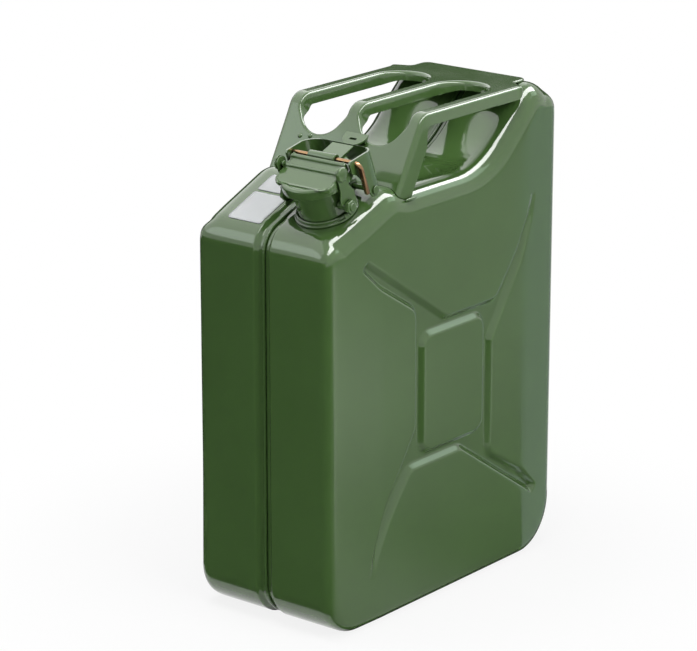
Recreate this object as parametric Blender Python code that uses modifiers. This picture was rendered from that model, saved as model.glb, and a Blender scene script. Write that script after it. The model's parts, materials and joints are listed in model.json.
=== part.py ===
"""Metal jerry can: two pressed half shells joined at a recessed seam, a three bar handle,
and a spout on one half with a cap that a yoke, a thumb lever and a locking pin hold shut.
Metres, +Z up, origin under the middle of the can. The spout end points to -X and the
half that carries the spout is the one at -Y."""
import math

import bmesh
import bpy
from mathutils import Matrix, Vector
from mathutils.geometry import delaunay_2d_cdt

for old in list(bpy.data.objects):
    bpy.data.objects.remove(old, do_unlink=True)

# Sizes of the body
BODY_WIDTH = 0.345
BODY_DEPTH = 0.165
BODY_HEIGHT = 0.4677
SHEET = 0.001
GAP = 0.0003
CUT_OVERRUN = 0.002
MERGE = 0.000001
BOTTOM_CORNER_R = 0.050
EDGE_R = 0.022
SHOULDER_DROP = 0.0935
SHOULDER_CORNER_R = 0.030
SHOULDER_DEG = 22.0
HUMP_BACK = 0.0905
HUMP_R = 0.030
SADDLE_DROP = 0.0632
SADDLE_FRONT = 0.1145
SADDLE_FRONT_R = 0.030
SADDLE_REAR = 0.1125
SADDLE_REAR_R = 0.090
REAR_RISE = 0.0425
REAR_RISE_R = 0.024
REAR_TOP_R = 0.033

# Sizes of the seam
SEAM_HALF_WIDTH = 0.0100
SEAM_DEPTH = 0.004
RIM_HALF_GAP = 0.0011
BEAD_HALF_WIDTH = 0.0008
BEAD_ABOVE_FLOOR = 0.0018
BEAD_HEIGHT = 0.0030

# Sizes of the pressed cross on the wide faces
CROSS_SIDE_SHIFT = 0.0075
CROSS_SIDE_MARGIN = 0.036
CROSS_LOW_MARGIN = 0.0448
CROSS_HIGH_MARGIN = 0.0072
CROSS_DEPTH = 0.0045
CROSS_WALL_RUN = 0.0036
CROSS_CORNER_R = 0.0040
CROSS_BEND_R = 0.014
CROSS_CHANNEL_WIDTH = 0.0139
ISLAND_R = 0.011

# Sizes of the handle
HANDLE_INSET = 0.0035
HANDLE_SHEET = 0.002
BAR_WIDTH = 0.019
BAR_HEIGHT = 0.0115
BAR_CORNER_R = 0.0045
BAR_END = 0.0975
FRONT_BEND_R = 0.017
FRONT_FOOT = 0.1025
FRONT_LEAN_DEG = 29.0
FRONT_FLANGE = 0.018
FOOT_REACH = 0.018
REAR_WRAP_DEG = 16.0
REAR_PLATE_END = 0.025
REAR_FLANGE_END = 0.0555
REAR_TAPER = 0.007
REAR_CORNER_R = 0.008
LIP_DEPTH = 0.008
LEG_WELD_R = 0.00145
LEG_WELD_LENGTH = 0.016
LEG_WELD_INSET = 0.004

# Sizes of the catch on the handle's front
CATCH_Y = -0.008
CATCH_WIDTH = 0.018
CATCH_REACH = 0.014
CATCH_DROP = 0.024
CATCH_LEG = 0.012
CATCH_SHEET = 0.0018
CATCH_SLOT_LENGTH = 0.009
CATCH_SLOT_WIDTH = 0.003

# Sizes of the neck
NECK_FROM_FRONT = 0.0465
NECK_FROM_SEAM = 0.038
NECK_R = 0.0252
NECK_WALL = 0.0015
NECK_HEIGHT = 0.0365
NECK_INSIDE = 0.006
LIP_OVERHANG = 0.0023
LIP_HEIGHT = 0.0035
EDGE_BREAK = 0.0005
COLLAR_WIDTH = 0.0041
COLLAR_HEIGHT = 0.0052
BREATHER_R = 0.004
BREATHER_WALL = 0.0008
BREATHER_TOP = 0.030
BREATHER_BOTTOM = -0.026
STUD_R = 0.004
STUD_X = -0.007
STUD_Z = 0.016
STUD_PROUD = 0.0030

# Sizes of the cap
CAP_OVERHANG = 0.0078
CAP_SHEET = 0.0015
CAP_HEIGHT = 0.0094
CAP_EDGE_R = 0.0022
GASKET_INSIDE = 0.0037
GASKET_OVERHANG = 0.0030
GASKET_THICKNESS = 0.0038
CAP_RIVET_R = 0.002
CAP_RIVET_HEAD_R = 0.0045
CAP_RIVET_HEAD = 0.0012

# Sizes of the yoke
CHEEK_SHEET = 0.0016
YOKE_SHEET = 0.0018
YOKE_BACK = 0.0162
YOKE_FRONT_X = 0.0065
YOKE_TOP_Z = 0.0535
YOKE_BACK_LOW_Z = 0.031
YOKE_CORNER_R = 0.016
YOKE_FOOT_R = 0.0065
HINGE_FROM_NECK = 0.0038
HINGE_Z = 0.0105
HINGE_PIN_R = 0.0025
HINGE_HEAD_R = 0.004
HINGE_HEAD = 0.0015
KNUCKLE_HALF_WIDTH = 0.013
KNUCKLE_BACK = 0.0055
KNUCKLE_TOP_Z = 0.0155
TONGUE_HALF_WIDTH = 0.012
TONGUE_SHEET = 0.0015
TONGUE_FRONT_X = -0.009

# Sizes of the lever and its locking pin
PIVOT_X = 0.0145
PIVOT_Z = 0.0485
BARREL_R = 0.0038
BARREL_HALF_LENGTH = 0.015
PIN_R = 0.0016
PIN_CLEARANCE = 0.0004
PIN_OVERHANG = 0.004
PIN_BEND_R = 0.003
PIN_TAIL = 0.032
LEVER_SHEET = 0.0016
LEVER_SETBACK = 0.008
LEVER_TOP_Z = 0.0532
LEVER_SIDE = 0.0084
LEVER_EDGE_R = 0.002
CHEEK_RIVET_X = -0.0046
CHEEK_RIVET_Z = 0.0486
CHEEK_RIVET_R = 0.0022
CHEEK_RIVET_HEAD_R = 0.0055
CHEEK_RIVET_HEAD = 0.0022
CHEEK_TAIL_R = 0.0025
CHEEK_TAIL = 0.0012
SADDLE_CLEARANCE = 0.0004

# Sizes of the label
LABEL_THICKNESS = 0.0002
LABEL_NEAR_Y = 0.012
LABEL_WIDTH = 0.039
LABEL_FROM_FRONT = 0.0125
LABEL_LENGTH = 0.066

# Shapes as shares of the sizes above
seam_shares = ((0.11, 1.0), (0.52, 1.0), (0.66, 0.88), (0.76, 0.5), (0.86, 0.12), (1.0, 0.0))
cross_shares = (
    (-0.432, 0.516), (-0.817, 0.717), (-1.000, 0.859), (-0.941, 0.907), (-0.084, 0.428),
    (0.473, 0.428), (0.645, 0.603), (0.714, 0.681), (0.813, 0.843), (0.868, 1.000),
    (0.934, 0.988), (0.883, 0.825), (0.791, 0.645), (0.751, 0.576), (0.432, 0.183),
)
cross_radius_shares = (1.0, 3.0, 0.0, 0.0, 1.0, 1.0, 2.0, 2.0, 3.0, 0.0, 0.0, 3.0, 2.0, 2.0, 1.0)
bead_shares = ((-1.0, 1.0), (-1.0, 0.25), (-0.5, 0.0), (0.5, 0.0), (1.0, 0.25), (1.0, 1.0))
lever_station_shares = (0.0, 0.08, 0.22, 0.48, 0.51, 0.63, 0.66, 0.74, 0.77, 0.89, 0.92, 1.0)
lever_width_shares = (0.60, 0.80, 0.92, 1.0, 1.0, 1.0, 1.0, 1.0, 1.0, 1.0, 1.0, 0.97)
lever_drop_shares = (0.40, 0.31, 0.26, 0.24, 0.0, 0.0, 0.24, 0.24, 0.0, 0.0, 0.24, 0.31)
lever_side_shares = (0.40, 0.50, 0.85, 1.0, 1.0, 1.0, 1.0, 1.0, 1.0, 1.0, 0.9, 0.6)
cheek_shares = (
    (0.20, -0.20), (0.55, -0.45), (0.62, 0.55), (0.40, 1.05), (-0.40, 1.05), (-1.02, 0.40),
    (-1.30, -1.60), (-1.85, -4.30),
)
cheek_rear_shares = ((0.45, -4.45), (0.95, -2.90), (1.05, -1.20))
yoke_foot_shares = ((1.0, 0.0), (0.71, -0.71), (0.0, -1.0), (-0.71, -0.71), (-1.0, 0.0))

SHOULDER = math.radians(SHOULDER_DEG)
LEAN = math.radians(FRONT_LEAN_DEG)
HALF_W = BODY_WIDTH / 2
HALF_D = BODY_DEPTH / 2
FLAT_HALF = HALF_D - EDGE_R
SHOULDER_WALL_Z = BODY_HEIGHT - SHOULDER_DROP
SADDLE_Z = BODY_HEIGHT - SADDLE_DROP
SADDLE_FRONT_X = -HALF_W + SADDLE_FRONT
SADDLE_REAR_X = HALF_W - SADDLE_REAR
REAR_RISE_X = HALF_W - REAR_RISE
CROSS_REACH = HALF_W - CROSS_SIDE_MARGIN
CROSS_RISE = (SHOULDER_WALL_Z - CROSS_HIGH_MARGIN - CROSS_LOW_MARGIN) / 2
CROSS_Z = CROSS_LOW_MARGIN + CROSS_RISE
HANDLE_HALF_WIDTH = HALF_D - HANDLE_INSET
BAR_END_X = HALF_W - BAR_END
FRONT_FOOT_X = -HALF_W + FRONT_FOOT
NECK_X = -HALF_W + NECK_FROM_FRONT
NECK_Y = -NECK_FROM_SEAM
LABEL_START_X = -HALF_W + LABEL_FROM_FRONT
LABEL_END_X = LABEL_START_X + LABEL_LENGTH
NECK_Z = SHOULDER_WALL_Z + (NECK_X + HALF_W) * math.tan(SHOULDER)
HANDLE_TOP = BODY_HEIGHT + GAP + HANDLE_SHEET
CATCH_TOP_Z = HANDLE_TOP - CATCH_DROP
LIP_R = NECK_R + LIP_OVERHANG
COLLAR_R = NECK_R + COLLAR_WIDTH
CAP_R = NECK_R + CAP_OVERHANG
GASKET_INNER_R = NECK_R - GASKET_INSIDE
GASKET_OUTER_R = LIP_R + GASKET_OVERHANG
STUD_REACH = CAP_R + STUD_PROUD
HINGE_X = NECK_R + HINGE_FROM_NECK
YOKE_BACK_X = HINGE_X + YOKE_BACK
KNUCKLE_BACK_X = HINGE_X + KNUCKLE_BACK
LEVER_TIP_X = LEVER_SETBACK - CAP_R
LEVER_LENGTH = PIVOT_X - BARREL_R - GAP - LEVER_TIP_X

parts = bpy.data.collections.new("metal_jerry_can")
helpers = bpy.data.collections.new("cutters")
bpy.context.scene.collection.children.link(parts)
bpy.context.scene.collection.children.link(helpers)


# Materials
def material(name, colour, roughness, metallic=0.0):
    mat = bpy.data.materials.new(name)
    mat.use_nodes = True
    shader = mat.node_tree.nodes["Principled BSDF"]
    shader.inputs["Base Color"].default_value = (*colour, 1.0)
    shader.inputs["Roughness"].default_value = roughness
    shader.inputs["Metallic"].default_value = metallic
    mat.diffuse_color = (*colour, 1.0)
    return mat


OLIVE = (0.072, 0.125, 0.048)


# Outlines
def rounded_loop(points, radii, step_deg=15.0):
    """Points and outward normals of a closed anticlockwise outline with round corners."""
    loop = []
    count = len(points)
    for i in range(count):
        here = Vector(points[i])
        back = (Vector(points[i - 1]) - here).normalized()
        ahead = (Vector(points[(i + 1) % count]) - here).normalized()
        turn = math.atan2((-back).cross(ahead), (-back).dot(ahead))
        side = 1.0 if turn > 0 else -1.0
        radius = radii[i]
        reach = radius * math.tan(abs(turn) / 2)
        start = here + back * reach
        normal_in = Vector((-back.y, back.x))
        steps = max(1, round(math.degrees(abs(turn)) / step_deg))
        centre = start - normal_in * radius * side
        for k in range(steps + 1):
            angle = turn * k / steps
            normal = Matrix.Rotation(angle, 2) @ normal_in
            loop.append((centre + normal * radius * side, normal))
    return loop


def material_object(name, mesh, mat):
    obj = bpy.data.objects.new(name, mesh)
    parts.objects.link(obj)
    obj.data.materials.append(mat)
    return obj


def mesh_from(name, verts, faces):
    mesh = bpy.data.meshes.new(name)
    mesh.from_pydata([tuple(v) for v in verts], [], faces)
    mesh.validate()
    mesh.update()
    return mesh


def shade(obj, degrees=30.0):
    """Smooth the round faces and keep edges sharper than the angle crisp."""
    mesh = obj.data
    mesh.polygons.foreach_set("use_smooth", [True] * len(mesh.polygons))
    mesh.set_sharp_from_angle(angle=math.radians(degrees))
    return obj


def helper(obj):
    for coll in list(obj.users_collection):
        coll.objects.unlink(obj)
    helpers.objects.link(obj)
    obj.hide_render = True
    obj.display_type = "WIRE"
    return obj


def boolean(obj, cutter, kind="DIFFERENCE"):
    mod = obj.modifiers.new(kind.title(), "BOOLEAN")
    mod.operation = kind
    mod.solver = "EXACT"
    mod.object = cutter
    return mod


def cylinder_mesh(name, radius, low, high, segments=32):
    """Closed cylinder along Z from low to high."""
    bm = bmesh.new()
    bmesh.ops.create_cone(bm, cap_ends=True, segments=segments, radius1=radius, radius2=radius,
                          depth=high - low)
    bmesh.ops.translate(bm, verts=bm.verts, vec=(0, 0, (low + high) / 2))
    mesh = bpy.data.meshes.new(name)
    bm.to_mesh(mesh)
    bm.free()
    return mesh


def box_mesh(name, low, high):
    bm = bmesh.new()
    bmesh.ops.create_cube(bm, size=1.0)
    size = [high[i] - low[i] for i in range(3)]
    bmesh.ops.scale(bm, verts=bm.verts, vec=size)
    bmesh.ops.translate(bm, verts=bm.verts, vec=[(high[i] + low[i]) / 2 for i in range(3)])
    mesh = bpy.data.meshes.new(name)
    bm.to_mesh(mesh)
    bm.free()
    return mesh


def turned(name, profile, mat, segments=32):
    """Solid of revolution about Z; the profile runs down its outer side first."""
    closed = profile[0][0] > 0 and profile[-1][0] > 0
    edges = [(i, i + 1) for i in range(len(profile) - 1)]
    if closed:
        edges.append((len(profile) - 1, 0))
    mesh = bpy.data.meshes.new(name)
    mesh.from_pydata([(r, 0.0, z) for r, z in profile], edges, [])
    obj = material_object(name, mesh, mat)
    mod = obj.modifiers.new("Screw", "SCREW")
    mod.steps = segments
    mod.render_steps = segments
    mod.use_merge_vertices = True
    mod.merge_threshold = MERGE
    mod.use_smooth_shade = False
    return obj


def flat_outline(name, outline, thickness, mat):
    """A 2D curve filled on both sides and extruded about its plane, kept as a mesh to cut."""
    curve = bpy.data.curves.new(name, "CURVE")
    curve.dimensions = "2D"
    curve.fill_mode = "BOTH"
    curve.extrude = thickness / 2
    spline = curve.splines.new("POLY")
    spline.points.add(len(outline) - 1)
    for point, place in zip(spline.points, outline):
        point.co = (place[0], place[1], 0.0, 1.0)
    spline.use_cyclic_u = True
    drawn = bpy.data.objects.new(name + "_outline", curve)
    helpers.objects.link(drawn)
    view = bpy.context.evaluated_depsgraph_get()
    mesh = bpy.data.meshes.new_from_object(drawn.evaluated_get(view))
    bpy.data.objects.remove(drawn, do_unlink=True)
    bm = bmesh.new()
    bm.from_mesh(mesh)
    bmesh.ops.remove_doubles(bm, verts=bm.verts, dist=MERGE)
    bmesh.ops.recalc_face_normals(bm, faces=bm.faces)
    bm.to_mesh(mesh)
    bm.free()
    mesh.name = name
    mesh.materials.clear()
    return material_object(name, mesh, mat)


def loft(name, rings, mat, closed_path=False):
    """Closed rings of equal count joined into one skin, capped at both ends."""
    count = len(rings[0])
    verts = [v for ring in rings for v in ring]
    faces = []
    spans = len(rings) if closed_path else len(rings) - 1
    for i in range(spans):
        a = i * count
        b = ((i + 1) % len(rings)) * count
        for j in range(count):
            k = (j + 1) % count
            faces.append((a + j, a + k, b + k, b + j))
    if not closed_path:
        faces.append(tuple(range(count))[::-1])
        last = (len(rings) - 1) * count
        faces.append(tuple(last + j for j in range(count)))
    mesh = mesh_from(name, verts, faces)
    bm = bmesh.new()
    bm.from_mesh(mesh)
    bmesh.ops.recalc_face_normals(bm, faces=bm.faces)
    bm.to_mesh(mesh)
    bm.free()
    return material_object(name, mesh, mat)


# Side outline of the can
hump_x = -HALF_W + HUMP_BACK
hump_z = SHOULDER_WALL_Z + HUMP_BACK * math.tan(SHOULDER)
side_points = (
    (-HALF_W, 0.0), (HALF_W, 0.0), (HALF_W, BODY_HEIGHT), (REAR_RISE_X, BODY_HEIGHT),
    (SADDLE_REAR_X, SADDLE_Z), (SADDLE_FRONT_X, SADDLE_Z), (hump_x, hump_z),
    (-HALF_W, SHOULDER_WALL_Z),
)
side_radii = (BOTTOM_CORNER_R, BOTTOM_CORNER_R, REAR_TOP_R, REAR_RISE_R, SADDLE_REAR_R,
              SADDLE_FRONT_R, HUMP_R, SHOULDER_CORNER_R)
side = rounded_loop(side_points, side_radii)


def side_point(index, inset):
    place, normal = side[index % len(side)]
    return place - normal * inset


def top_height(x):
    """Height of the can's top outline above a place along its width."""
    for i in range(len(side)):
        a, b = side[i - 1][0], side[i][0]
        if b.x <= x < a.x and b.y > SHOULDER_WALL_Z:
            return a.y + (b.y - a.y) * (a.x - x) / (a.x - b.x)
    return SADDLE_Z


def half_rows():
    """Distance from the seam and inset from the side outline, from the rim to the wide face."""
    rows = []
    for width_share, depth_share in seam_shares:
        rows.append((width_share * SEAM_HALF_WIDTH, depth_share * SEAM_DEPTH))
    rows[0] = (RIM_HALF_GAP, SEAM_DEPTH)
    rows.append((FLAT_HALF, 0.0))
    for k in range(1, 7):
        angle = math.radians(15.0 * k)
        rows.append((FLAT_HALF + EDGE_R * math.sin(angle), EDGE_R * (1 - math.cos(angle))))
    return rows


def cross_loops():
    """Outer edge of the pressed cross and the edge of its island, each with its floor edge."""
    centre = Vector((CROSS_SIDE_SHIFT, CROSS_Z))
    half = [Vector((x * CROSS_REACH, z * CROSS_RISE)) for x, z in cross_shares]
    radii = [CROSS_CORNER_R if share == 0 else CROSS_BEND_R * share
             for share in cross_radius_shares]
    points = [centre + v for v in half] + [centre - v for v in half]
    outer = rounded_loop(points[::-1], (radii + radii)[::-1], 30.0)
    w = CROSS_REACH * -cross_shares[0][0] - CROSS_CHANNEL_WIDTH
    h = CROSS_RISE * cross_shares[4][1] - CROSS_CHANNEL_WIDTH
    corners = [centre + Vector(c) for c in ((-w, -h), (w, -h), (w, h), (-w, h))]
    island = rounded_loop(corners, [ISLAND_R] * 4, 30.0)
    return outer, island


def half_shell(name, sign, mat):
    rows = half_rows()
    count = len(side)
    verts = []
    for y, inset in rows:
        for i in range(count):
            place = side_point(i, inset)
            verts.append((place.x, sign * y, place.y))
    faces = []
    for r in range(len(rows) - 1):
        for i in range(count):
            k = (i + 1) % count
            face = (r * count + i, r * count + k, (r + 1) * count + k, (r + 1) * count + i)
            faces.append(face if sign < 0 else face[::-1])
    rim_start = (len(rows) - 1) * count
    flat = [side_point(i, EDGE_R) for i in range(count)]
    loops = [(flat, 0.0)]
    outer, island = cross_loops()
    loops.append(([p for p, n in outer], 0.0))
    loops.append(([p - n * CROSS_WALL_RUN for p, n in outer], CROSS_DEPTH))
    loops.append(([p + n * CROSS_WALL_RUN for p, n in island], CROSS_DEPTH))
    loops.append(([p for p, n in island], 0.0))
    points, depths, edges = [], [], []
    for loop, depth in loops:
        start = len(points)
        points += loop
        depths += [depth] * len(loop)
        edges += [(start + i, start + (i + 1) % len(loop)) for i in range(len(loop))]
    out_verts, _, tris, origin, _, _ = delaunay_2d_cdt(points, edges, [], 0, MERGE)
    ids = []
    for i, place in enumerate(out_verts):
        nearest = min(range(len(points)), key=lambda k: (points[k] - place).length_squared)
        source = origin[i][0] if origin[i] else nearest
        if source < count:
            ids.append(rim_start + source)
        else:
            ids.append(len(verts))
            verts.append((place.x, sign * (HALF_D - depths[source]), place.y))
    for tri in tris:
        middle = sum((out_verts[i] for i in tri), Vector((0.0, 0.0))) / 3
        if not inside(middle, flat):
            continue
        face = tuple(ids[i] for i in tri)
        faces.append(face if sign < 0 else face[::-1])
    mesh = mesh_from(name, verts, faces)
    bm = bmesh.new()
    bm.from_mesh(mesh)
    bmesh.ops.recalc_face_normals(bm, faces=bm.faces)
    if bm.faces and sum(f.calc_area() * f.normal.y for f in bm.faces) * sign < 0:
        bmesh.ops.reverse_faces(bm, faces=bm.faces)
    bm.to_mesh(mesh)
    bm.free()
    obj = material_object(name, mesh, mat)
    mod = obj.modifiers.new("Sheet", "SOLIDIFY")
    mod.thickness = SHEET
    mod.offset = -1.0
    mod.use_even_offset = True
    return obj


def inside(point, loop):
    hit = False
    for i in range(len(loop)):
        a, b = loop[i - 1], loop[i]
        if (a.y > point.y) != (b.y > point.y):
            if point.x < (b.x - a.x) * (point.y - a.y) / (b.y - a.y) + a.x:
                hit = not hit
    return hit


# Half shells and seam
spout_half = half_shell("spout_half_shell", -1, material("spout_half_paint", OLIVE, 0.22))
plain_half = half_shell("plain_half_shell", 1, material("plain_half_paint", OLIVE, 0.22))

neck_frame = bpy.data.objects.new("neck_frame", None)
parts.objects.link(neck_frame)
neck_frame.location = (NECK_X, NECK_Y, NECK_Z)
neck_frame.rotation_euler = (0.0, -SHOULDER, 0.0)
yoke_frame = bpy.data.objects.new("yoke_frame", None)
parts.objects.link(yoke_frame)
yoke_frame.parent = neck_frame
yoke_frame.location = (HINGE_X, 0.0, HINGE_Z)
lever_frame = bpy.data.objects.new("lever_frame", None)
parts.objects.link(lever_frame)
lever_frame.parent = yoke_frame
lever_frame.location = (PIVOT_X - HINGE_X, 0.0, PIVOT_Z - HINGE_Z)


def in_neck(obj, x=0.0, y=0.0, z=0.0):
    obj.parent = neck_frame
    obj.location = (x, y, z)
    return obj


def in_yoke(obj, x=0.0, y=0.0, z=0.0):
    obj.parent = yoke_frame
    obj.location = (x - HINGE_X, y, z - HINGE_Z)
    return obj


def in_lever(obj, x=0.0, y=0.0, z=0.0):
    obj.parent = lever_frame
    obj.location = (x - PIVOT_X, y, z - PIVOT_Z)
    return obj


hole = bpy.data.objects.new("neck_hole", cylinder_mesh(
    "neck_hole", NECK_R + GAP, -NECK_INSIDE, NECK_INSIDE))
helper(in_neck(hole))
boolean(spout_half, hole)

bead_rings = []
for i in range(len(side)):
    ring = []
    for y_share, z_share in bead_shares:
        inset = SEAM_DEPTH - BEAD_ABOVE_FLOOR + z_share * BEAD_HEIGHT
        place = side_point(i, inset)
        ring.append((place.x, y_share * BEAD_HALF_WIDTH, place.y))
    bead_rings.append(ring)
seam_weld = loft("seam_weld", bead_rings, material("seam_paint", OLIVE, 0.3), closed_path=True)

# Neck
tube_inner = NECK_R - NECK_WALL
lip_low = NECK_HEIGHT - LIP_HEIGHT
neck_tube = in_neck(turned("neck_tube", (
    (LIP_R - EDGE_BREAK, NECK_HEIGHT), (LIP_R, NECK_HEIGHT - EDGE_BREAK),
    (LIP_R, lip_low + EDGE_BREAK), (LIP_R - EDGE_BREAK, lip_low), (NECK_R, lip_low),
    (NECK_R, -NECK_INSIDE), (tube_inner, -NECK_INSIDE), (tube_inner, NECK_HEIGHT - EDGE_BREAK),
    (tube_inner + EDGE_BREAK, NECK_HEIGHT)), material("neck_paint", OLIVE, 0.3)))

collar_flank = (COLLAR_R - NECK_R) / 4
collar_inner = NECK_R + GAP
in_neck(turned("neck_collar", (
    (NECK_R + collar_flank, COLLAR_HEIGHT), (NECK_R + 2 * collar_flank, COLLAR_HEIGHT * 0.7),
    (COLLAR_R - EDGE_BREAK, COLLAR_HEIGHT * 0.5), (COLLAR_R, COLLAR_HEIGHT * 0.27),
    (COLLAR_R - EDGE_BREAK, GAP), (collar_inner, GAP), (collar_inner, COLLAR_HEIGHT)),
    material("collar_paint", OLIVE, 0.3)))

breather_x = tube_inner - BREATHER_R - EDGE_BREAK
in_neck(turned("breather_tube", (
    (BREATHER_R, BREATHER_TOP), (BREATHER_R, BREATHER_BOTTOM),
    (BREATHER_R - BREATHER_WALL, BREATHER_BOTTOM), (BREATHER_R - BREATHER_WALL, BREATHER_TOP)),
    material("breather_steel", (0.4, 0.4, 0.38), 0.35, 1.0), 16), breather_x)

stud_start = math.sqrt((NECK_R + GAP) ** 2 - max(abs(STUD_X) - STUD_R, 0.0) ** 2)
for label, way in (("near", -1), ("far", 1)):
    mesh = cylinder_mesh(f"neck_stud_{label}", STUD_R, stud_start, STUD_REACH, 12)
    stud = material_object(f"neck_stud_{label}", mesh, material(f"stud_{label}_paint", OLIVE, 0.35))
    stud.rotation_euler = (-way * math.pi / 2, 0.0, 0.0)
    in_neck(stud, STUD_X, 0.0, STUD_Z)
    bevel = stud.modifiers.new("Bevel", "BEVEL")
    bevel.width = EDGE_BREAK
    bevel.segments = 1
    bevel.limit_method = "ANGLE"
    bevel.angle_limit = math.radians(60.0)

# Hinge of the yoke
knuckle_low = COLLAR_HEIGHT + GAP
knuckle = material_object("hinge_knuckle", box_mesh(
    "hinge_knuckle", (NECK_R - KNUCKLE_HALF_WIDTH / 2, -KNUCKLE_HALF_WIDTH, knuckle_low),
    (KNUCKLE_BACK_X, KNUCKLE_HALF_WIDTH, KNUCKLE_TOP_Z)), material("knuckle_paint", OLIVE, 0.35))
in_neck(knuckle)
neck_clear = helper(in_neck(bpy.data.objects.new("neck_clear", cylinder_mesh(
    "neck_clear", NECK_R + GAP, -NECK_INSIDE, NECK_HEIGHT + CUT_OVERRUN))))
boolean(knuckle, neck_clear)
pin_bore = bpy.data.objects.new("hinge_bore", cylinder_mesh(
    "hinge_bore", HINGE_PIN_R + GAP, -HALF_D, HALF_D, 20))
pin_bore.rotation_euler = (math.pi / 2, 0.0, 0.0)
helper(in_neck(pin_bore, HINGE_X, 0.0, HINGE_Z))
boolean(knuckle, pin_bore)

arm_inner = CAP_R + GAP + CHEEK_SHEET + GAP
arm_outer = arm_inner + YOKE_SHEET
head_low = arm_outer + GAP
hinge_pin = turned("hinge_pin", (
    (0.0, head_low + HINGE_HEAD), (HINGE_HEAD_R - EDGE_BREAK, head_low + HINGE_HEAD),
    (HINGE_HEAD_R, head_low + HINGE_HEAD - EDGE_BREAK), (HINGE_HEAD_R, head_low),
    (HINGE_PIN_R, head_low), (HINGE_PIN_R, -head_low), (HINGE_HEAD_R, -head_low),
    (HINGE_HEAD_R, -head_low - HINGE_HEAD + EDGE_BREAK),
    (HINGE_HEAD_R - EDGE_BREAK, -head_low - HINGE_HEAD), (0.0, -head_low - HINGE_HEAD)),
    material("hinge_pin_paint", OLIVE, 0.35), 16)
hinge_pin.rotation_euler = (math.pi / 2, 0.0, 0.0)
in_neck(hinge_pin, HINGE_X, 0.0, HINGE_Z)

# Yoke strap
foot = [(HINGE_X + x * YOKE_FOOT_R, HINGE_Z + z * YOKE_FOOT_R) for x, z in yoke_foot_shares]
strap_side = [
    (YOKE_FRONT_X, YOKE_TOP_Z - YOKE_SHEET), (YOKE_FRONT_X, PIVOT_Z - YOKE_FOOT_R),
    (HINGE_X - 2.4 * YOKE_FOOT_R, PIVOT_Z - 2 * YOKE_FOOT_R),
    (HINGE_X - 1.5 * YOKE_FOOT_R, HINGE_Z + 2 * YOKE_FOOT_R),
] + foot[::-1] + [
    (YOKE_BACK_X - YOKE_FOOT_R, YOKE_BACK_LOW_Z - YOKE_SHEET), (YOKE_BACK_X, YOKE_BACK_LOW_Z),
    (YOKE_BACK_X, YOKE_TOP_Z - YOKE_SHEET), (YOKE_BACK_X - YOKE_SHEET, YOKE_TOP_Z - YOKE_SHEET / 2),
    (YOKE_FRONT_X + YOKE_SHEET, YOKE_TOP_Z),
]
strap = flat_outline("yoke_strap", [(x, z) for x, z in strap_side],
                     2 * arm_outer, material("yoke_paint", OLIVE, 0.28))
strap.rotation_euler = (math.pi / 2, 0.0, 0.0)
in_yoke(strap, 0.0, 0.0, 0.0)


def u_plan(half_width, back, corner):
    loop = rounded_loop(
        ((-CAP_R, -half_width), (back, -half_width), (back, half_width), (-CAP_R, half_width)),
        (0.0, corner, corner, 0.0), 18.0)
    return [(p.x, p.y) for p, _ in loop]


outer_plan = u_plan(arm_outer + CUT_OVERRUN, YOKE_BACK_X + CUT_OVERRUN, YOKE_CORNER_R)
inner_plan = u_plan(arm_inner, YOKE_BACK_X - YOKE_SHEET, YOKE_CORNER_R - YOKE_SHEET)
strap_core = flat_outline("strap_core", inner_plan, 4 * YOKE_TOP_Z, material("cutter", OLIVE, 0.5))
helper(in_neck(strap_core))
boolean(strap, strap_core)
corner_plan = u_plan(arm_outer, YOKE_BACK_X, YOKE_CORNER_R)
strap_round = flat_outline("strap_round", corner_plan, 4 * YOKE_TOP_Z, material("cutter", OLIVE, 0.5))
helper(in_neck(strap_round))
boolean(strap, strap_round, "INTERSECT")
boolean(strap, pin_bore)
lock_bore = bpy.data.objects.new("lock_bore", cylinder_mesh(
    "lock_bore", PIN_R + PIN_CLEARANCE, -HALF_D, HALF_D, 16))
lock_bore.rotation_euler = (math.pi / 2, 0.0, 0.0)
helper(in_neck(lock_bore, PIVOT_X, 0.0, PIVOT_Z))
boolean(strap, lock_bore)

# Cap with its gasket and rivet
cap_under = NECK_HEIGHT + GAP + GASKET_THICKNESS + GAP
cap_top = cap_under + CAP_SHEET
cap_low = cap_top - CAP_HEIGHT
hole_r = CAP_RIVET_R + GAP
skirt_inner = CAP_R - CAP_SHEET
cap_disc = in_yoke(turned("cap_disc", (
    (hole_r, cap_top), (CAP_R - CAP_EDGE_R, cap_top),
    (CAP_R - CAP_EDGE_R * 0.3, cap_top - CAP_EDGE_R * 0.3), (CAP_R, cap_top - CAP_EDGE_R),
    (CAP_R, cap_low), (skirt_inner, cap_low), (skirt_inner, cap_under - EDGE_BREAK),
    (skirt_inner - EDGE_BREAK, cap_under), (hole_r, cap_under)),
    material("cap_paint", OLIVE, 0.25), 40))
in_yoke(turned("cap_gasket", (
    (GASKET_OUTER_R, NECK_HEIGHT + GAP + GASKET_THICKNESS), (GASKET_OUTER_R, NECK_HEIGHT + GAP),
    (GASKET_INNER_R, NECK_HEIGHT + GAP), (GASKET_INNER_R, NECK_HEIGHT + GAP + GASKET_THICKNESS)),
    material("gasket_rubber", (0.02, 0.02, 0.02), 0.7)))
tongue_low = cap_top + GAP
tongue_top = tongue_low + TONGUE_SHEET
rivet_low = cap_under - GAP
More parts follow.
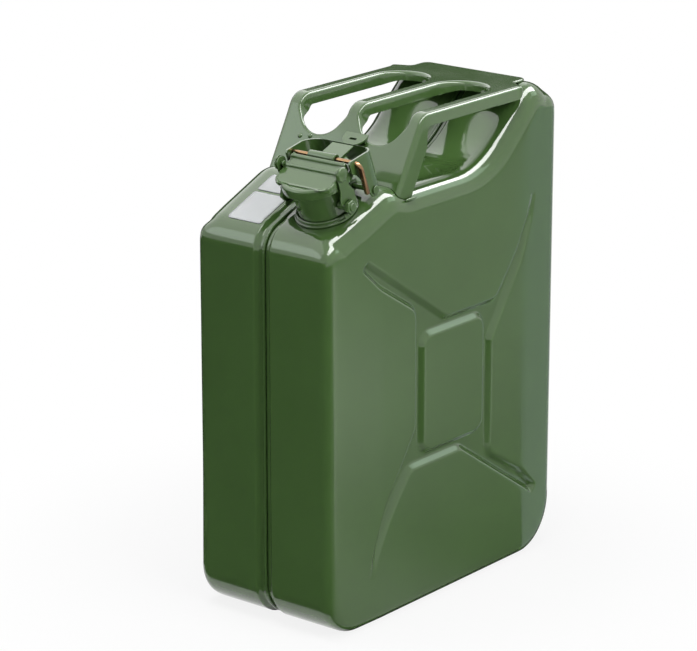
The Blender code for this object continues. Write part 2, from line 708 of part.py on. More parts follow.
in_yoke(turned("cap_rivet", (
    (0.0, tongue_top + GAP + CAP_RIVET_HEAD),
    (CAP_RIVET_HEAD_R - CAP_RIVET_HEAD, tongue_top + GAP + CAP_RIVET_HEAD),
    (CAP_RIVET_HEAD_R, tongue_top + GAP + EDGE_BREAK), (CAP_RIVET_HEAD_R, tongue_top + GAP),
    (CAP_RIVET_R, tongue_top + GAP), (CAP_RIVET_R, rivet_low), (CAP_RIVET_HEAD_R, rivet_low),
    (CAP_RIVET_HEAD_R, rivet_low - CAP_RIVET_HEAD), (0.0, rivet_low - CAP_RIVET_HEAD)),
    material("cap_rivet_paint", OLIVE, 0.35), 16))

tongue_end = YOKE_BACK_X - YOKE_SHEET - GAP
tongue_loop = rounded_loop(
    ((TONGUE_FRONT_X, -TONGUE_HALF_WIDTH), (tongue_end, -TONGUE_HALF_WIDTH),
     (tongue_end, TONGUE_HALF_WIDTH), (TONGUE_FRONT_X, TONGUE_HALF_WIDTH)),
    (TONGUE_HALF_WIDTH / 2, 0.0, 0.0, TONGUE_HALF_WIDTH / 2), 22.5)
tongue = flat_outline("yoke_tongue", [(p.x, p.y) for p, _ in tongue_loop], TONGUE_SHEET,
                      material("tongue_paint", OLIVE, 0.3))
in_yoke(tongue, 0.0, 0.0, tongue_low + TONGUE_SHEET / 2)
tongue_hole = helper(in_neck(bpy.data.objects.new("tongue_hole", cylinder_mesh(
    "tongue_hole", hole_r, 0.0, YOKE_TOP_Z, 16))))
boolean(tongue, tongue_hole)

# Thumb lever with its rolled barrel
lever_half = CAP_R
lever_rings = []
for at, wide, drop, skirt in zip(lever_station_shares, lever_width_shares,
                                 lever_drop_shares, lever_side_shares):
    x = LEVER_TIP_X + at * LEVER_LENGTH
    hw = lever_half * wide
    top = LEVER_TOP_Z - drop * LEVER_SIDE
    low = LEVER_TOP_Z - LEVER_SIDE + (1.0 - skirt) * (LEVER_SIDE - drop * LEVER_SIDE - LEVER_EDGE_R)
    low = min(low, top - LEVER_EDGE_R - EDGE_BREAK)
    thick = LEVER_SHEET
    edge = LEVER_EDGE_R
    outer = [(-hw, low), (-hw, top - edge), (-hw + edge * 0.3, top - edge * 0.3),
             (-hw + edge, top), (hw - edge, top), (hw - edge * 0.3, top - edge * 0.3),
             (hw, top - edge), (hw, low)]
    inner = [(hw - thick, low), (hw - thick, top - edge), (hw - edge, top - thick),
             (-hw + edge, top - thick), (-hw + thick, top - edge), (-hw + thick, low)]
    lever_rings.append([(x, y, z) for y, z in outer + inner])
thumb_lever = in_lever(loft("thumb_lever", lever_rings, material("lever_paint", OLIVE, 0.25)))
rivet_bore = bpy.data.objects.new("rivet_bore", cylinder_mesh(
    "rivet_bore", CHEEK_RIVET_R + GAP, -HALF_D, HALF_D, 16))
rivet_bore.rotation_euler = (math.pi / 2, 0.0, 0.0)
helper(in_neck(rivet_bore, CHEEK_RIVET_X, 0.0, CHEEK_RIVET_Z))
boolean(thumb_lever, rivet_bore)

barrel = turned("lever_barrel", (
    (BARREL_R, BARREL_HALF_LENGTH), (BARREL_R, -BARREL_HALF_LENGTH),
    (PIN_R + PIN_CLEARANCE, -BARREL_HALF_LENGTH), (PIN_R + PIN_CLEARANCE, BARREL_HALF_LENGTH)),
    material("barrel_paint", OLIVE, 0.25), 20)
barrel.rotation_euler = (math.pi / 2, 0.0, 0.0)
in_lever(barrel, PIVOT_X, 0.0, PIVOT_Z)

# Cam cheeks that sit over the studs of the neck, and the rivets that carry them
cheek_mid = CAP_R + GAP + CHEEK_SHEET / 2
saddle_r = STUD_R + SADDLE_CLEARANCE
cheek_loop = [(CHEEK_RIVET_X + x * CHEEK_RIVET_HEAD_R, CHEEK_RIVET_Z + z * CHEEK_RIVET_HEAD_R)
              for x, z in cheek_shares]
saddle_arc = []
for k in range(6):
    angle = math.radians(165.0 - 22.0 * k)
    saddle_arc.append((STUD_X + saddle_r * math.cos(angle), STUD_Z + saddle_r * math.sin(angle)))
finger = (saddle_arc[0][0] - SADDLE_CLEARANCE * 4, saddle_arc[0][1])
rear = [(CHEEK_RIVET_X + x * CHEEK_RIVET_HEAD_R, CHEEK_RIVET_Z + z * CHEEK_RIVET_HEAD_R)
        for x, z in cheek_rear_shares]
cheek_outline = cheek_loop[2:] + [finger] + saddle_arc + rear
for label, way in (("near", -1), ("far", 1)):
    cheek = flat_outline(f"cam_cheek_{label}", cheek_outline, CHEEK_SHEET,
                         material(f"cheek_{label}_paint", OLIVE, 0.3))
    cheek.rotation_euler = (math.pi / 2, 0.0, 0.0)
    in_lever(cheek, 0.0, way * cheek_mid, 0.0)
    boolean(cheek, rivet_bore)
    out = arm_inner
    flange_in = lever_half - LEVER_SHEET - GAP
    rivet = turned(f"cheek_rivet_{label}", (
        (0.0, out + CHEEK_RIVET_HEAD), (CHEEK_RIVET_HEAD_R * 0.6, out + CHEEK_RIVET_HEAD * 0.85),
        (CHEEK_RIVET_HEAD_R * 0.93, out + CHEEK_RIVET_HEAD * 0.4), (CHEEK_RIVET_HEAD_R, out),
        (CHEEK_RIVET_R, out), (CHEEK_RIVET_R, flange_in), (CHEEK_TAIL_R, flange_in),
        (CHEEK_TAIL_R, flange_in - CHEEK_TAIL), (0.0, flange_in - CHEEK_TAIL)),
        material(f"rivet_{label}_paint", OLIVE, 0.35), 20)
    rivet.rotation_euler = (-way * math.pi / 2, 0.0, 0.0)
    in_lever(rivet, CHEEK_RIVET_X, 0.0, CHEEK_RIVET_Z)

# Locking pin
curve = bpy.data.curves.new("locking_pin", "CURVE")
curve.dimensions = "3D"
curve.bevel_depth = PIN_R
curve.bevel_resolution = 2
curve.use_fill_caps = True
pin_end = arm_outer + PIN_OVERHANG
pin_path = [(0.0, pin_end, 0.0), (0.0, -pin_end + PIN_BEND_R, 0.0)]
for k in range(1, 5):
    angle = math.radians(22.5 * k)
    pin_path.append((0.0, -pin_end + PIN_BEND_R - PIN_BEND_R * math.sin(angle),
                     -PIN_BEND_R + PIN_BEND_R * math.cos(angle)))
pin_path.append((0.0, -pin_end, -PIN_TAIL))
spline = curve.splines.new("POLY")
spline.points.add(len(pin_path) - 1)
for point, place in zip(spline.points, pin_path):
    point.co = (*place, 1.0)
locking_pin = material_object("locking_pin", curve, material("pin_zinc", (0.62, 0.42, 0.22), 0.25, 1.0))
in_yoke(locking_pin, PIVOT_X, 0.0, PIVOT_Z)


# Handle
def bar_profile(half_width, height, corner, sheet, offset=0.0):
    """Open channel section: sideways place and depth below the top face."""
    outer, inner = [(-half_width, height)], []
    for k in range(5):
        angle = math.radians(22.5 * k)
        outer.append((-half_width + corner * (1 - math.cos(angle)), corner * (1 - math.sin(angle))))
    small = max(corner - sheet, EDGE_BREAK)
    for k in range(5):
        angle = math.radians(22.5 * k)
        inner.append((-half_width + sheet + small * (1 - math.cos(angle)),
                      sheet + small * (1 - math.sin(angle))))
    outer += [(-y, d) for y, d in outer[::-1]]
    inner = [(-half_width + sheet, height)] + inner
    inner += [(-y, d) for y, d in inner[::-1]]
    return [(y + offset, d) for y, d in outer + inner[::-1]]


def swept(name, profile, path, mat):
    """Section carried along a path of places and down directions in the XZ plane."""
    rings = []
    for place, down in path:
        rings.append([(place.x + down.x * d, y, place.y + down.y * d) for y, d in profile])
    return loft(name, rings, mat)


lean_up = Vector((math.sin(LEAN), math.cos(LEAN)))
lean_in = Vector((math.cos(LEAN), -math.sin(LEAN)))
down = Vector((0.0, -1.0))
FRONT_FOOT_Z = top_height(FRONT_FOOT_X)
foot_point = Vector((FRONT_FOOT_X, FRONT_FOOT_Z))
corner_point = foot_point + lean_up * ((HANDLE_TOP - FRONT_FOOT_Z) / math.cos(LEAN))
bend_reach = FRONT_BEND_R * math.tan((math.pi / 2 - LEAN) / 2)
bar_path = [(Vector((BAR_END_X - GAP, HANDLE_TOP)), down)]
bend_centre = Vector((corner_point.x + bend_reach, HANDLE_TOP - FRONT_BEND_R))
for k in range(7):
    angle = (math.pi / 2 - LEAN) * k / 6
    ray = Vector((-math.sin(angle), math.cos(angle)))
    bar_path.append((bend_centre + ray * FRONT_BEND_R, -ray))
bar_y = HANDLE_HALF_WIDTH - BAR_WIDTH / 2
for label, y in (("near", -bar_y), ("middle", 0.0), ("far", bar_y)):
    profile = bar_profile(BAR_WIDTH / 2, BAR_HEIGHT, BAR_CORNER_R, HANDLE_SHEET, y)
    swept(f"handle_bar_{label}", profile, bar_path, material(f"bar_{label}_paint", OLIVE, 0.22))

gap_y = (BAR_WIDTH / 2 + HANDLE_HALF_WIDTH - BAR_WIDTH) / 2
gap_r = (HANDLE_HALF_WIDTH - 1.5 * BAR_WIDTH) / 2


def two_cylinders(name, radius, low, high, segments=40):
    bm = bmesh.new()
    for way in (-1, 1):
        made = bmesh.ops.create_cone(bm, cap_ends=True, segments=segments, radius1=radius,
                                     radius2=radius, depth=high - low)
        bmesh.ops.translate(bm, verts=made["verts"], vec=(0, way * gap_y, (low + high) / 2))
    mesh = bpy.data.meshes.new(name)
    bm.to_mesh(mesh)
    bm.free()
    return bpy.data.objects.new(name, mesh)


wrap_r = REAR_TOP_R + GAP + HANDLE_SHEET
wrap_x = HALF_W - REAR_TOP_R
plate_path = [(Vector((BAR_END_X - gap_r, HANDLE_TOP)), down), (Vector((wrap_x, HANDLE_TOP)), down)]
for k in range(1, 4):
    angle = math.radians(REAR_WRAP_DEG) * k / 3
    ray = Vector((math.sin(angle), math.cos(angle)))
    plate_path.append((Vector((wrap_x, HANDLE_TOP - wrap_r)) + ray * wrap_r, -ray))
rear_plate = swept("handle_rear_plate",
                   bar_profile(HANDLE_HALF_WIDTH, BAR_HEIGHT, BAR_CORNER_R, HANDLE_SHEET),
                   plate_path, material("rear_plate_paint", OLIVE, 0.22))
lips = two_cylinders("lips", gap_r + HANDLE_SHEET, HANDLE_TOP - LIP_DEPTH,
                     HANDLE_TOP - HANDLE_SHEET / 2)
lips.location.x = BAR_END_X
boolean(rear_plate, helper(lips), "UNION")
scallops = two_cylinders("rear_scallops", gap_r, HANDLE_TOP - 2 * LIP_DEPTH,
                         HANDLE_TOP + CUT_OVERRUN)
scallops.location.x = BAR_END_X
boolean(rear_plate, helper(scallops))
trim = helper(bpy.data.objects.new("rear_trim", box_mesh(
    "rear_trim", (BAR_END_X - 2 * gap_r, -BODY_DEPTH, HANDLE_TOP - 3 * LIP_DEPTH),
    (BAR_END_X, BODY_DEPTH, HANDLE_TOP + CUT_OVERRUN))))
boolean(rear_plate, trim)
flange_end_x = HALF_W - REAR_FLANGE_END
plate_end_x = HALF_W - REAR_PLATE_END
plan_half = HANDLE_HALF_WIDTH + CUT_OVERRUN
rear_half = ((BAR_END_X - 2 * gap_r, plan_half, 0.0), (flange_end_x, plan_half, REAR_TAPER / 2),
             (flange_end_x + REAR_TAPER, FLAT_HALF, REAR_TAPER / 2),
             (plate_end_x, FLAT_HALF, REAR_CORNER_R))
rear_points = [(x, -y) for x, y, _ in rear_half] + [(x, y) for x, y, _ in rear_half[::-1]]
rear_radii = [r for _, _, r in rear_half] + [r for _, _, r in rear_half[::-1]]
rear_plan = flat_outline("rear_plan", [(p.x, p.y) for p, _ in rounded_loop(
    rear_points, rear_radii)], 4 * BAR_HEIGHT, material("cutter", OLIVE, 0.5))
rear_plan.location.z = HANDLE_TOP
boolean(rear_plate, helper(rear_plan), "INTERSECT")

front_top = corner_point - lean_up * (bend_reach + GAP)
front_low = foot_point - lean_up * FOOT_REACH
front_profile = bar_profile(HANDLE_HALF_WIDTH, FRONT_FLANGE, BAR_CORNER_R, HANDLE_SHEET)
front_plate = swept("handle_front_plate", front_profile,
                    [(front_top, lean_in), (front_low, lean_in)],
                    material("front_plate_paint", OLIVE, 0.22))
front_cut = two_cylinders("front_scallops", gap_r, -FRONT_FLANGE, FRONT_FLANGE)
front_cut.location = (front_top.x, 0.0, front_top.y)
front_cut.rotation_euler = (0.0, math.pi / 2 + LEAN, 0.0)
boolean(front_plate, helper(front_cut))

foot_rings = []
for i in range(len(side)):
    place = side_point(i, 0.0)
    if place.y < SHOULDER_WALL_Z or not -HALF_W + SHOULDER_CORNER_R / 2 < place.x < BAR_END_X / 2:
        continue
    half_ring = []
    for k in range(7):
        angle = math.radians(15.0 * k)
        spot = side_point(i, EDGE_R - (EDGE_R + GAP) * math.cos(angle))
        half_ring.append((spot.x, FLAT_HALF + (EDGE_R + GAP) * math.sin(angle), spot.y))
    half_ring.append((place.x, HALF_D + GAP, SADDLE_Z - 3 * EDGE_R))
    foot_rings.append(half_ring + [(x, -y, z) for x, y, z in half_ring[::-1]])
foot_cut = loft("foot_cut", foot_rings, material("cutter", OLIVE, 0.5))
boolean(front_plate, helper(foot_cut))

# Weld beads at the feet of the outer legs
weld_y = HANDLE_HALF_WIDTH + GAP + LEG_WELD_R
weld_x = FRONT_FOOT_X + LEG_WELD_INSET
weld_drop = math.sqrt((EDGE_R + LEG_WELD_R + GAP) ** 2 - (weld_y - FLAT_HALF) ** 2)
weld_z = top_height(weld_x) - EDGE_R + weld_drop
for label, way in (("near", -1), ("far", 1)):
    mesh = cylinder_mesh(f"leg_weld_{label}", LEG_WELD_R, 0.0, LEG_WELD_LENGTH, 12)
    weld = material_object(f"leg_weld_{label}", mesh, material(f"weld_{label}_paint", OLIVE, 0.4))
    weld.rotation_euler = (0.0, math.pi / 2, 0.0)
    weld.location = (weld_x, way * weld_y, weld_z)
    bevel = weld.modifiers.new("Bevel", "BEVEL")
    bevel.width = LEG_WELD_R / 2
    bevel.segments = 2
    bevel.limit_method = "ANGLE"
    bevel.angle_limit = math.radians(60.0)


# Catch on the handle's front
def on_lean(z, away):
    """Place at a height, a distance in front of the leaning plate."""
    return (FRONT_FOOT_X + (z - FRONT_FOOT_Z) * math.tan(LEAN) - away / math.cos(LEAN), z)


catch_low = CATCH_TOP_Z - CATCH_LEG
tip_x = on_lean(CATCH_TOP_Z, GAP)[0] - CATCH_REACH
under = CATCH_TOP_Z - CATCH_SHEET
catch_outline = [
    on_lean(catch_low, GAP), on_lean(CATCH_TOP_Z, GAP), (tip_x + EDGE_BREAK, CATCH_TOP_Z),
    (tip_x, CATCH_TOP_Z - EDGE_BREAK), (tip_x, under),
    on_lean(under, GAP + CATCH_SHEET), on_lean(catch_low, GAP + CATCH_SHEET),
]
catch = flat_outline("hold_open_catch", catch_outline, CATCH_WIDTH,
                     material("catch_paint", OLIVE, 0.25))
catch.rotation_euler = (math.pi / 2, 0.0, 0.0)
catch.location = (0.0, CATCH_Y, 0.0)
slot_x = tip_x + CATCH_REACH / 2
slot = helper(bpy.data.objects.new("catch_slot", box_mesh(
    "catch_slot", (slot_x - CATCH_SLOT_WIDTH / 2, CATCH_Y - CATCH_SLOT_LENGTH / 2,
                   under - CUT_OVERRUN),
    (slot_x + CATCH_SLOT_WIDTH / 2, CATCH_Y + CATCH_SLOT_LENGTH / 2,
     CATCH_TOP_Z + CUT_OVERRUN))))
boolean(catch, slot)

# Label on the plain half's shoulder
label_rows = []
for index in range(len(side)):
    place, normal = side[index]
    on_shoulder = LABEL_START_X < place.x < LABEL_END_X and place.y > SHOULDER_WALL_Z
    if on_shoulder:
        label_rows.append((place, normal))
slope = Vector((-math.sin(SHOULDER), math.cos(SHOULDER)))
label_rows.append((Vector((LABEL_END_X, top_height(LABEL_END_X))), slope))
label_rows.sort(key=lambda row: row[0].x)
label_rings = []
for place, normal in label_rows:
    low = place + normal * GAP
    high = place + normal * (GAP + LABEL_THICKNESS)
    y0, y1 = LABEL_NEAR_Y, LABEL_NEAR_Y + LABEL_WIDTH
    label_rings.append([(low.x, y0, low.y), (high.x, y0, high.y), (high.x, y1, high.y),
                        (low.x, y1, low.y)])
loft("shoulder_label", label_rings, material("label_film", (0.85, 0.86, 0.88), 0.35))

for obj in parts.objects:
    if obj.type == "MESH" and not obj.name.startswith("handle_cut"):
        shade(obj)
bpy.context.view_layer.update()
print("nodes", sorted(o.name for o in parts.objects if o.type != "EMPTY"))
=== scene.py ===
# %% [markdown]
# # A steel jerry can in Blender
# The can is two pressed half shells of thin sheet, welded together at a recessed seam. On top are a
# handle of three bars and, beside the seam, a spout with a cap that a lever holds down. The packed
# model gives the exact pieces and where they move. This lesson dresses it: it presses the wide
# faces finely, softens every edge, and paints it all in glossy olive green.

import json
import math

import bmesh
import bpy
import numpy as np
from mathutils import Matrix, Vector
from mathutils.geometry import delaunay_2d_cdt


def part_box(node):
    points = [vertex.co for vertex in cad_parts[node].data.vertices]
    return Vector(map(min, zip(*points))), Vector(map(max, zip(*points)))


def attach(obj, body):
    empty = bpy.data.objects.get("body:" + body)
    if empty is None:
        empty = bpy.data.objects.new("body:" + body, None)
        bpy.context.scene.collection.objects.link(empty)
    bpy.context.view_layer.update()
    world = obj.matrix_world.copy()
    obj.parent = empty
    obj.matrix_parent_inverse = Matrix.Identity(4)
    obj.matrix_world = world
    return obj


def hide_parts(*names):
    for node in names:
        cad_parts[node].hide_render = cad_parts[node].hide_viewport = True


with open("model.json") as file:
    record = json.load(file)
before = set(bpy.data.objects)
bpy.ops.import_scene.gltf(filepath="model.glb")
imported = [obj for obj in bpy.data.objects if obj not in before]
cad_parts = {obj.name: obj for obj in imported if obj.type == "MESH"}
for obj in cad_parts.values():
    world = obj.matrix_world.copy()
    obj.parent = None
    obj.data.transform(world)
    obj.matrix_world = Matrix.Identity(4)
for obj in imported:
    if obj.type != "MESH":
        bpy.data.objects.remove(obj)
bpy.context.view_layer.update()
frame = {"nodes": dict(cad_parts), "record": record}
nodes = frame["nodes"]

# %% [markdown]
# ## The camera
# The photograph was taken from the spout's corner with a long lens, from a little above, so the
# upright edges lean only slightly. A camera is a place, a direction and a lens: the place is found
# by going back from the aim along the direction.

# %% Camera
AIM = Vector((-0.01598, 0.02567, 0.24694))
LOOK_TURN = math.radians(38.866)
LOOK_DOWN = math.radians(17.05)
CAMERA_DISTANCE = 2.972
LENS = 162.12
SENSOR_WIDTH = 36.0


def placed(name, data):
    """A new object in the scene."""
    thing = bpy.data.objects.new(name, data)
    bpy.context.scene.collection.objects.link(thing)
    return thing


def turned_along(way):
    """The rotation that points a camera or a lamp along a way."""
    return way.to_track_quat("-Z", "Y").to_euler()


look = Vector((math.cos(LOOK_TURN) * math.cos(LOOK_DOWN),
               math.sin(LOOK_TURN) * math.cos(LOOK_DOWN), -math.sin(LOOK_DOWN)))
camera = placed("camera", bpy.data.cameras.new("camera"))
camera.data.lens = LENS
camera.data.sensor_width = SENSOR_WIDTH
camera.location = AIM - look * CAMERA_DISTANCE
camera.rotation_euler = turned_along(look)
bpy.context.scene.camera = camera
print("camera stands at", tuple(round(v, 3) for v in camera.location))

# %% [markdown]
# ## The room
# Glossy paint shows what stands round it, so the room matters as much as the lamps. The background
# is pure white for the camera, for mirrors and for glass, while the light that falls on the can
# stays soft: the world has two colours, and Light Path tells which kind of ray is asking. Shader
# nodes are made and fed by two small helpers, `add_node` and `feed`.

# %% World
ROOM_COLOUR = (0.94, 0.97, 1.0)
ROOM_LEVEL = 0.28
PLAIN_WHITE = (1.0, 1.0, 1.0)


def feed(tree, node, feeds):
    """Puts a number, a colour or another node's output into each named socket."""
    for socket, value in feeds.items():
        if isinstance(value, bpy.types.NodeSocket):
            tree.links.new(value, node.inputs[socket])
        else:
            node.inputs[socket].default_value = value


def add_node(tree, kind, feeds, **settings):
    """A new shader node with its settings and all that is fed into it."""
    node = tree.nodes.new("ShaderNode" + kind)
    for name, value in settings.items():
        setattr(node, name, value)
    feed(tree, node, feeds)
    return node


def calculated(tree, operation, first, second):
    return add_node(tree, "Math", {0: first, 1: second}, operation=operation).outputs[0]


def empty_tree(owner):
    """The node tree of a material or a world, without the nodes that it starts with."""
    owner.use_nodes = True
    owner.node_tree.nodes.clear()
    return owner.node_tree


def show(tree, shader, kind="OutputMaterial"):
    add_node(tree, kind, {"Surface": shader.outputs[0]})


def ray_white(tree):
    """1 for rays of the camera, of glossy and of transmission; 0 for all the others."""
    path = tree.nodes.new("ShaderNodeLightPath").outputs
    seen = calculated(tree, "MAXIMUM", path["Is Camera Ray"], path["Is Glossy Ray"])
    return calculated(tree, "MAXIMUM", seen, path["Is Transmission Ray"])


world = bpy.data.worlds.new("studio")
bpy.context.scene.world = world
sky = empty_tree(world)
room = add_node(sky, "Background", {"Color": (*ROOM_COLOUR, 1.0), "Strength": ROOM_LEVEL})
backdrop = add_node(sky, "Background", {"Color": (*PLAIN_WHITE, 1.0), "Strength": 1.0})
show(sky, add_node(sky, "MixShader", {0: ray_white(sky), 1: room.outputs[0],
                                      2: backdrop.outputs[0]}), "OutputWorld")
bpy.context.scene.view_settings.view_transform = "Standard"
print("world ready")

# %% [markdown]
# ## The floor
# The floor is as white as the background, but it has to keep the can's shadow. So it is two
# shaders in one: matt paint, which takes the shadow, and plain white, which hides the floor's edge.
# Near the can the matt one shows through a little, and further out it fades away.

# %% Floor
FLOOR_SIZE = 6.0
FLOOR_COLOUR = (0.8, 0.8, 0.8)
SHADOW_R = 0.16
WHITE_R = 0.48
NEAR_WHITE = 0.86


def object_place(tree):
    """Each point's place in the object's own coordinates."""
    return tree.nodes.new("ShaderNodeTexCoord").outputs["Object"]


def graded(tree, source, span):
    """A smooth step: span is from, to, and the value at each of the two."""
    grade = add_node(tree, "MapRange", {"Value": source}, interpolation_type="SMOOTHSTEP")
    feed(tree, grade, dict(zip(("From Min", "From Max", "To Min", "To Max"), span)))
    return grade.outputs[0]


bpy.ops.mesh.primitive_plane_add(size=FLOOR_SIZE, location=(0.0, 0.0, 0.0))
floor = bpy.context.object
floor.name = "floor"
floor_paint = bpy.data.materials.new("floor_white")
ground = empty_tree(floor_paint)
matt = add_node(ground, "BsdfDiffuse", {"Color": (*FLOOR_COLOUR, 1.0)})
white = add_node(ground, "Emission", {"Color": (*PLAIN_WHITE, 1.0), "Strength": 1.0})
from_can = add_node(ground, "VectorMath", {0: object_place(ground)}, operation="LENGTH")
whiter = graded(ground, from_can.outputs["Value"], (SHADOW_R, WHITE_R, NEAR_WHITE, 1.0))
white_share = calculated(ground, "MULTIPLY", ray_white(ground), whiter)
show(ground, add_node(ground, "MixShader", {0: white_share, 1: matt.outputs[0],
                                            2: white.outputs[0]}))
floor.data.materials.append(floor_paint)
print("floor laid")

# %% [markdown]
# ## Two soft lamps
# A big soft lamp at the front right lights the wide face, and a weaker one hangs overhead. Both
# are area lamps, because a large source gives soft shadows. The gloss doesn't see them: its
# highlights come from the cards of the next step, which are easier to shape.

# %% Lamps
CAN_MIDDLE = Vector((0.0, 0.0, 0.25))
KEY_WAY = Vector((-0.08, -0.80, 0.58))
KEY_DISTANCE = 2.2


def soft_lamp(name, place, width, height, watts):
    """A rectangular soft box at a place, turned to the can."""
    lamp = placed(name, bpy.data.lights.new(name, "AREA"))
    lamp.data.shape = "RECTANGLE"
    lamp.data.size = width
    lamp.data.size_y = height
    lamp.data.energy = watts
    lamp.location = place
    lamp.rotation_euler = turned_along(CAN_MIDDLE - Vector(place))
    lamp.visible_glossy = False


soft_lamp("key_lamp", CAN_MIDDLE + KEY_WAY * KEY_DISTANCE, 1.6, 0.9, 24.0)
soft_lamp("top_lamp", (-0.45, 0.1, 2.6), 1.6, 1.2, 38.0)
print("two lamps hung")

# %% [markdown]
# ## Cards for the gloss
# Product photographers stand cards round a shiny object, because gloss shows what is there: a black
# card keeps the narrow front face deep green, a white one behind makes the shoulder gleam, and a
# grey one on the floor softens the shine of the wide face. Here the cards are seen by reflections
# only, so they throw no light and no shadow of their own. Where two cards lie on each other, the
# upper one is lifted a little.

# %% Cards
CARD_Z = 0.003
STRIP_Z = 2.4
FLAG_X = -1.3
FOOT_LIGHT_X = -0.183
CAN_FRONT, CAN_NEAR = -0.172, -0.083


def gloss_card(name, corners, level, colour=PLAIN_WHITE):
    """A flat card of one brightness that only glossy rays can see."""
    mesh = bpy.data.meshes.new(name)
    mesh.from_pydata(corners, [], [tuple(range(len(corners)))])
    card = placed(name, mesh)
    mat = bpy.data.materials.new(name)
    tree = empty_tree(mat)
    glow = add_node(tree, "Emission", {"Color": (*colour, 1.0), "Strength": level}, name="glow")
    show(tree, glow)
    mesh.materials.append(mat)
    card.visible_camera = False
    card.visible_diffuse = False
    card.visible_shadow = False
    card.visible_transmission = False
    return card


def level_card(name, height, places, level, colour=PLAIN_WHITE):
    """The same kind of card, lying level at a height."""
    return gloss_card(name, [(x, y, height) for x, y in places], level, colour)


level_card("flag_on_floor", CARD_Z, (
    (CAN_FRONT, CAN_NEAR), (-1.15, -3.0), (-3.0, -3.0), (-3.0, 3.0), (0.3, 3.0), (0.3, CAN_NEAR)),
    0.04)
level_card("half_light_on_floor", 1.3 * CARD_Z, (
    (CAN_FRONT, CAN_NEAR), (-1.15, -3.0), (-0.30, -3.0), (-0.06, -0.62)), 0.26)
level_card("light_at_foot", 1.5 * CARD_Z, (
    (FOOT_LIGHT_X, -0.078), (-0.140, -0.078), (-0.140, 0.16), (FOOT_LIGHT_X, 0.16)), 0.9)
gloss_card("flag_standing", (
    (FLAG_X, -0.25, 0.0), (FLAG_X, 3.0, 0.0), (FLAG_X, 3.0, 0.42), (FLAG_X, -0.25, 0.42)), 0.04)
pool_card = level_card("light_on_floor", CARD_Z, (
    (CAN_FRONT, CAN_NEAR), (-1.15, -3.0), (3.0, -3.0), (3.0, -2.15), (0.125, CAN_NEAR)), 1.0)
level_card("card_at_right", CARD_Z, (
    (0.125, CAN_NEAR), (3.0, -2.15), (3.0, CAN_NEAR)), 0.58, (0.86, 0.95, 1.0))
gloss_card("flag_behind", (
    (2.6, 0.2, 0.0), (2.6, 0.2, 1.05), (0.2, 2.6, 1.05), (0.2, 2.6, 0.0)), 0.06)
gloss_card("card_behind", (
    (-2.6, 1.5, 0.9), (2.8, 1.5, 0.9), (2.2, 0.6, 2.6), (-2.2, 0.6, 2.6)), 1.9)
gloss_card("band_behind", (
    (-2.6, 1.45, 0.92), (-1.1, 1.45, 0.92), (-1.1, 1.2, 1.45), (-2.6, 1.2, 1.45)),
    3.2, (0.93, 1.0, 0.97))
level_card("strip_overhead", STRIP_Z, (
    (-0.66, -1.10), (3.1, -0.80), (3.1, 0.30), (0.36, -0.42), (-0.66, -0.42)), 12.0)
level_card("strip_soft", STRIP_Z, (
    (1.2, -2.1), (3.6, -2.1), (3.6, -0.84), (1.2, -0.96)), 2.7, (0.82, 1.0, 0.86))
level_card("strip_at_front", STRIP_Z, (
    (-1.7, -1.1), (-0.66, -1.1), (-0.66, -0.35), (-1.7, -0.35)), 8.0)
print("twelve cards placed")

# %% [markdown]
# ## A pool of light on the floor
# The card in front of the wide face isn't of one brightness: it has a pool of light in its middle
# and falls off outward and towards the can. Three smooth steps, multiplied and mixed, make that.

# %% Pool of light
POOL_MIDDLE = (-0.1, -0.9, 0.0)
pool = pool_card.data.materials[0].node_tree
card_place = object_place(pool)
from_middle = add_node(pool, "VectorMath", {0: card_place, 1: POOL_MIDDLE}, operation="DISTANCE")
card_axes = add_node(pool, "SeparateXYZ", {0: card_place}).outputs
near_fade = add_node(pool, "Mix", {0: graded(pool, card_axes["X"], (-0.10, 0.12, 0.0, 1.0)),
                                   2: 1.0,
                                   3: graded(pool, card_axes["Y"], (-0.65, 0.0, 1.0, 0.30))})
outward_fade = graded(pool, from_middle.outputs["Value"], (0.2, 0.9, 1.15, 0.46))
feed(pool, pool.nodes["glow"],
     {"Strength": calculated(pool, "MULTIPLY", outward_fade, near_fade.outputs[0])})
print("pool of light round", POOL_MIDDLE[:2])

# %% [markdown]
# ## Glossy olive paint
# The paint is smooth and very glossy, with the faint waviness of thin sheet under it and the fine
# skin of sprayed enamel on it. Noises make it: a wide slow one for the sheet, a fine one for the
# enamel, and others that shift the green and the gloss a little from place to place. Painted shade
# darkens the hollows: ambient occlusion darkens the colour and weakens the gloss there.

# %% Paint
OLIVE = (0.061, 0.125, 0.033)
# Reach of the ambient occlusion that paints shade into the hollows
HOLLOW_REACH = 0.011


def noise(tree, place, scale, detail, roughness=0.5):
    return add_node(tree, "TexNoise", {"Vector": place, "Scale": scale, "Detail": detail,
                                       "Roughness": roughness}).outputs["Fac"]


def ramp(tree, source, low, high):
    """A colour ramp between two stops, each a place and a colour."""
    node = add_node(tree, "ValToRGB", {0: source})
    for element, (place, colour) in zip(node.color_ramp.elements, (low, high)):
        element.position, element.color = place, (*colour, 1.0)
    return node.outputs[0]


def bump(tree, height, distance, strength, under=None):
    node = add_node(tree, "Bump", {"Distance": distance, "Strength": strength, "Height": height})
    if under is not None:
        feed(tree, node, {"Normal": under})
    return node.outputs[0]


def shade_of(colour, share):
    return tuple(min(1.0, c * share) for c in colour)


def grey(level):
    return (level,) * 3


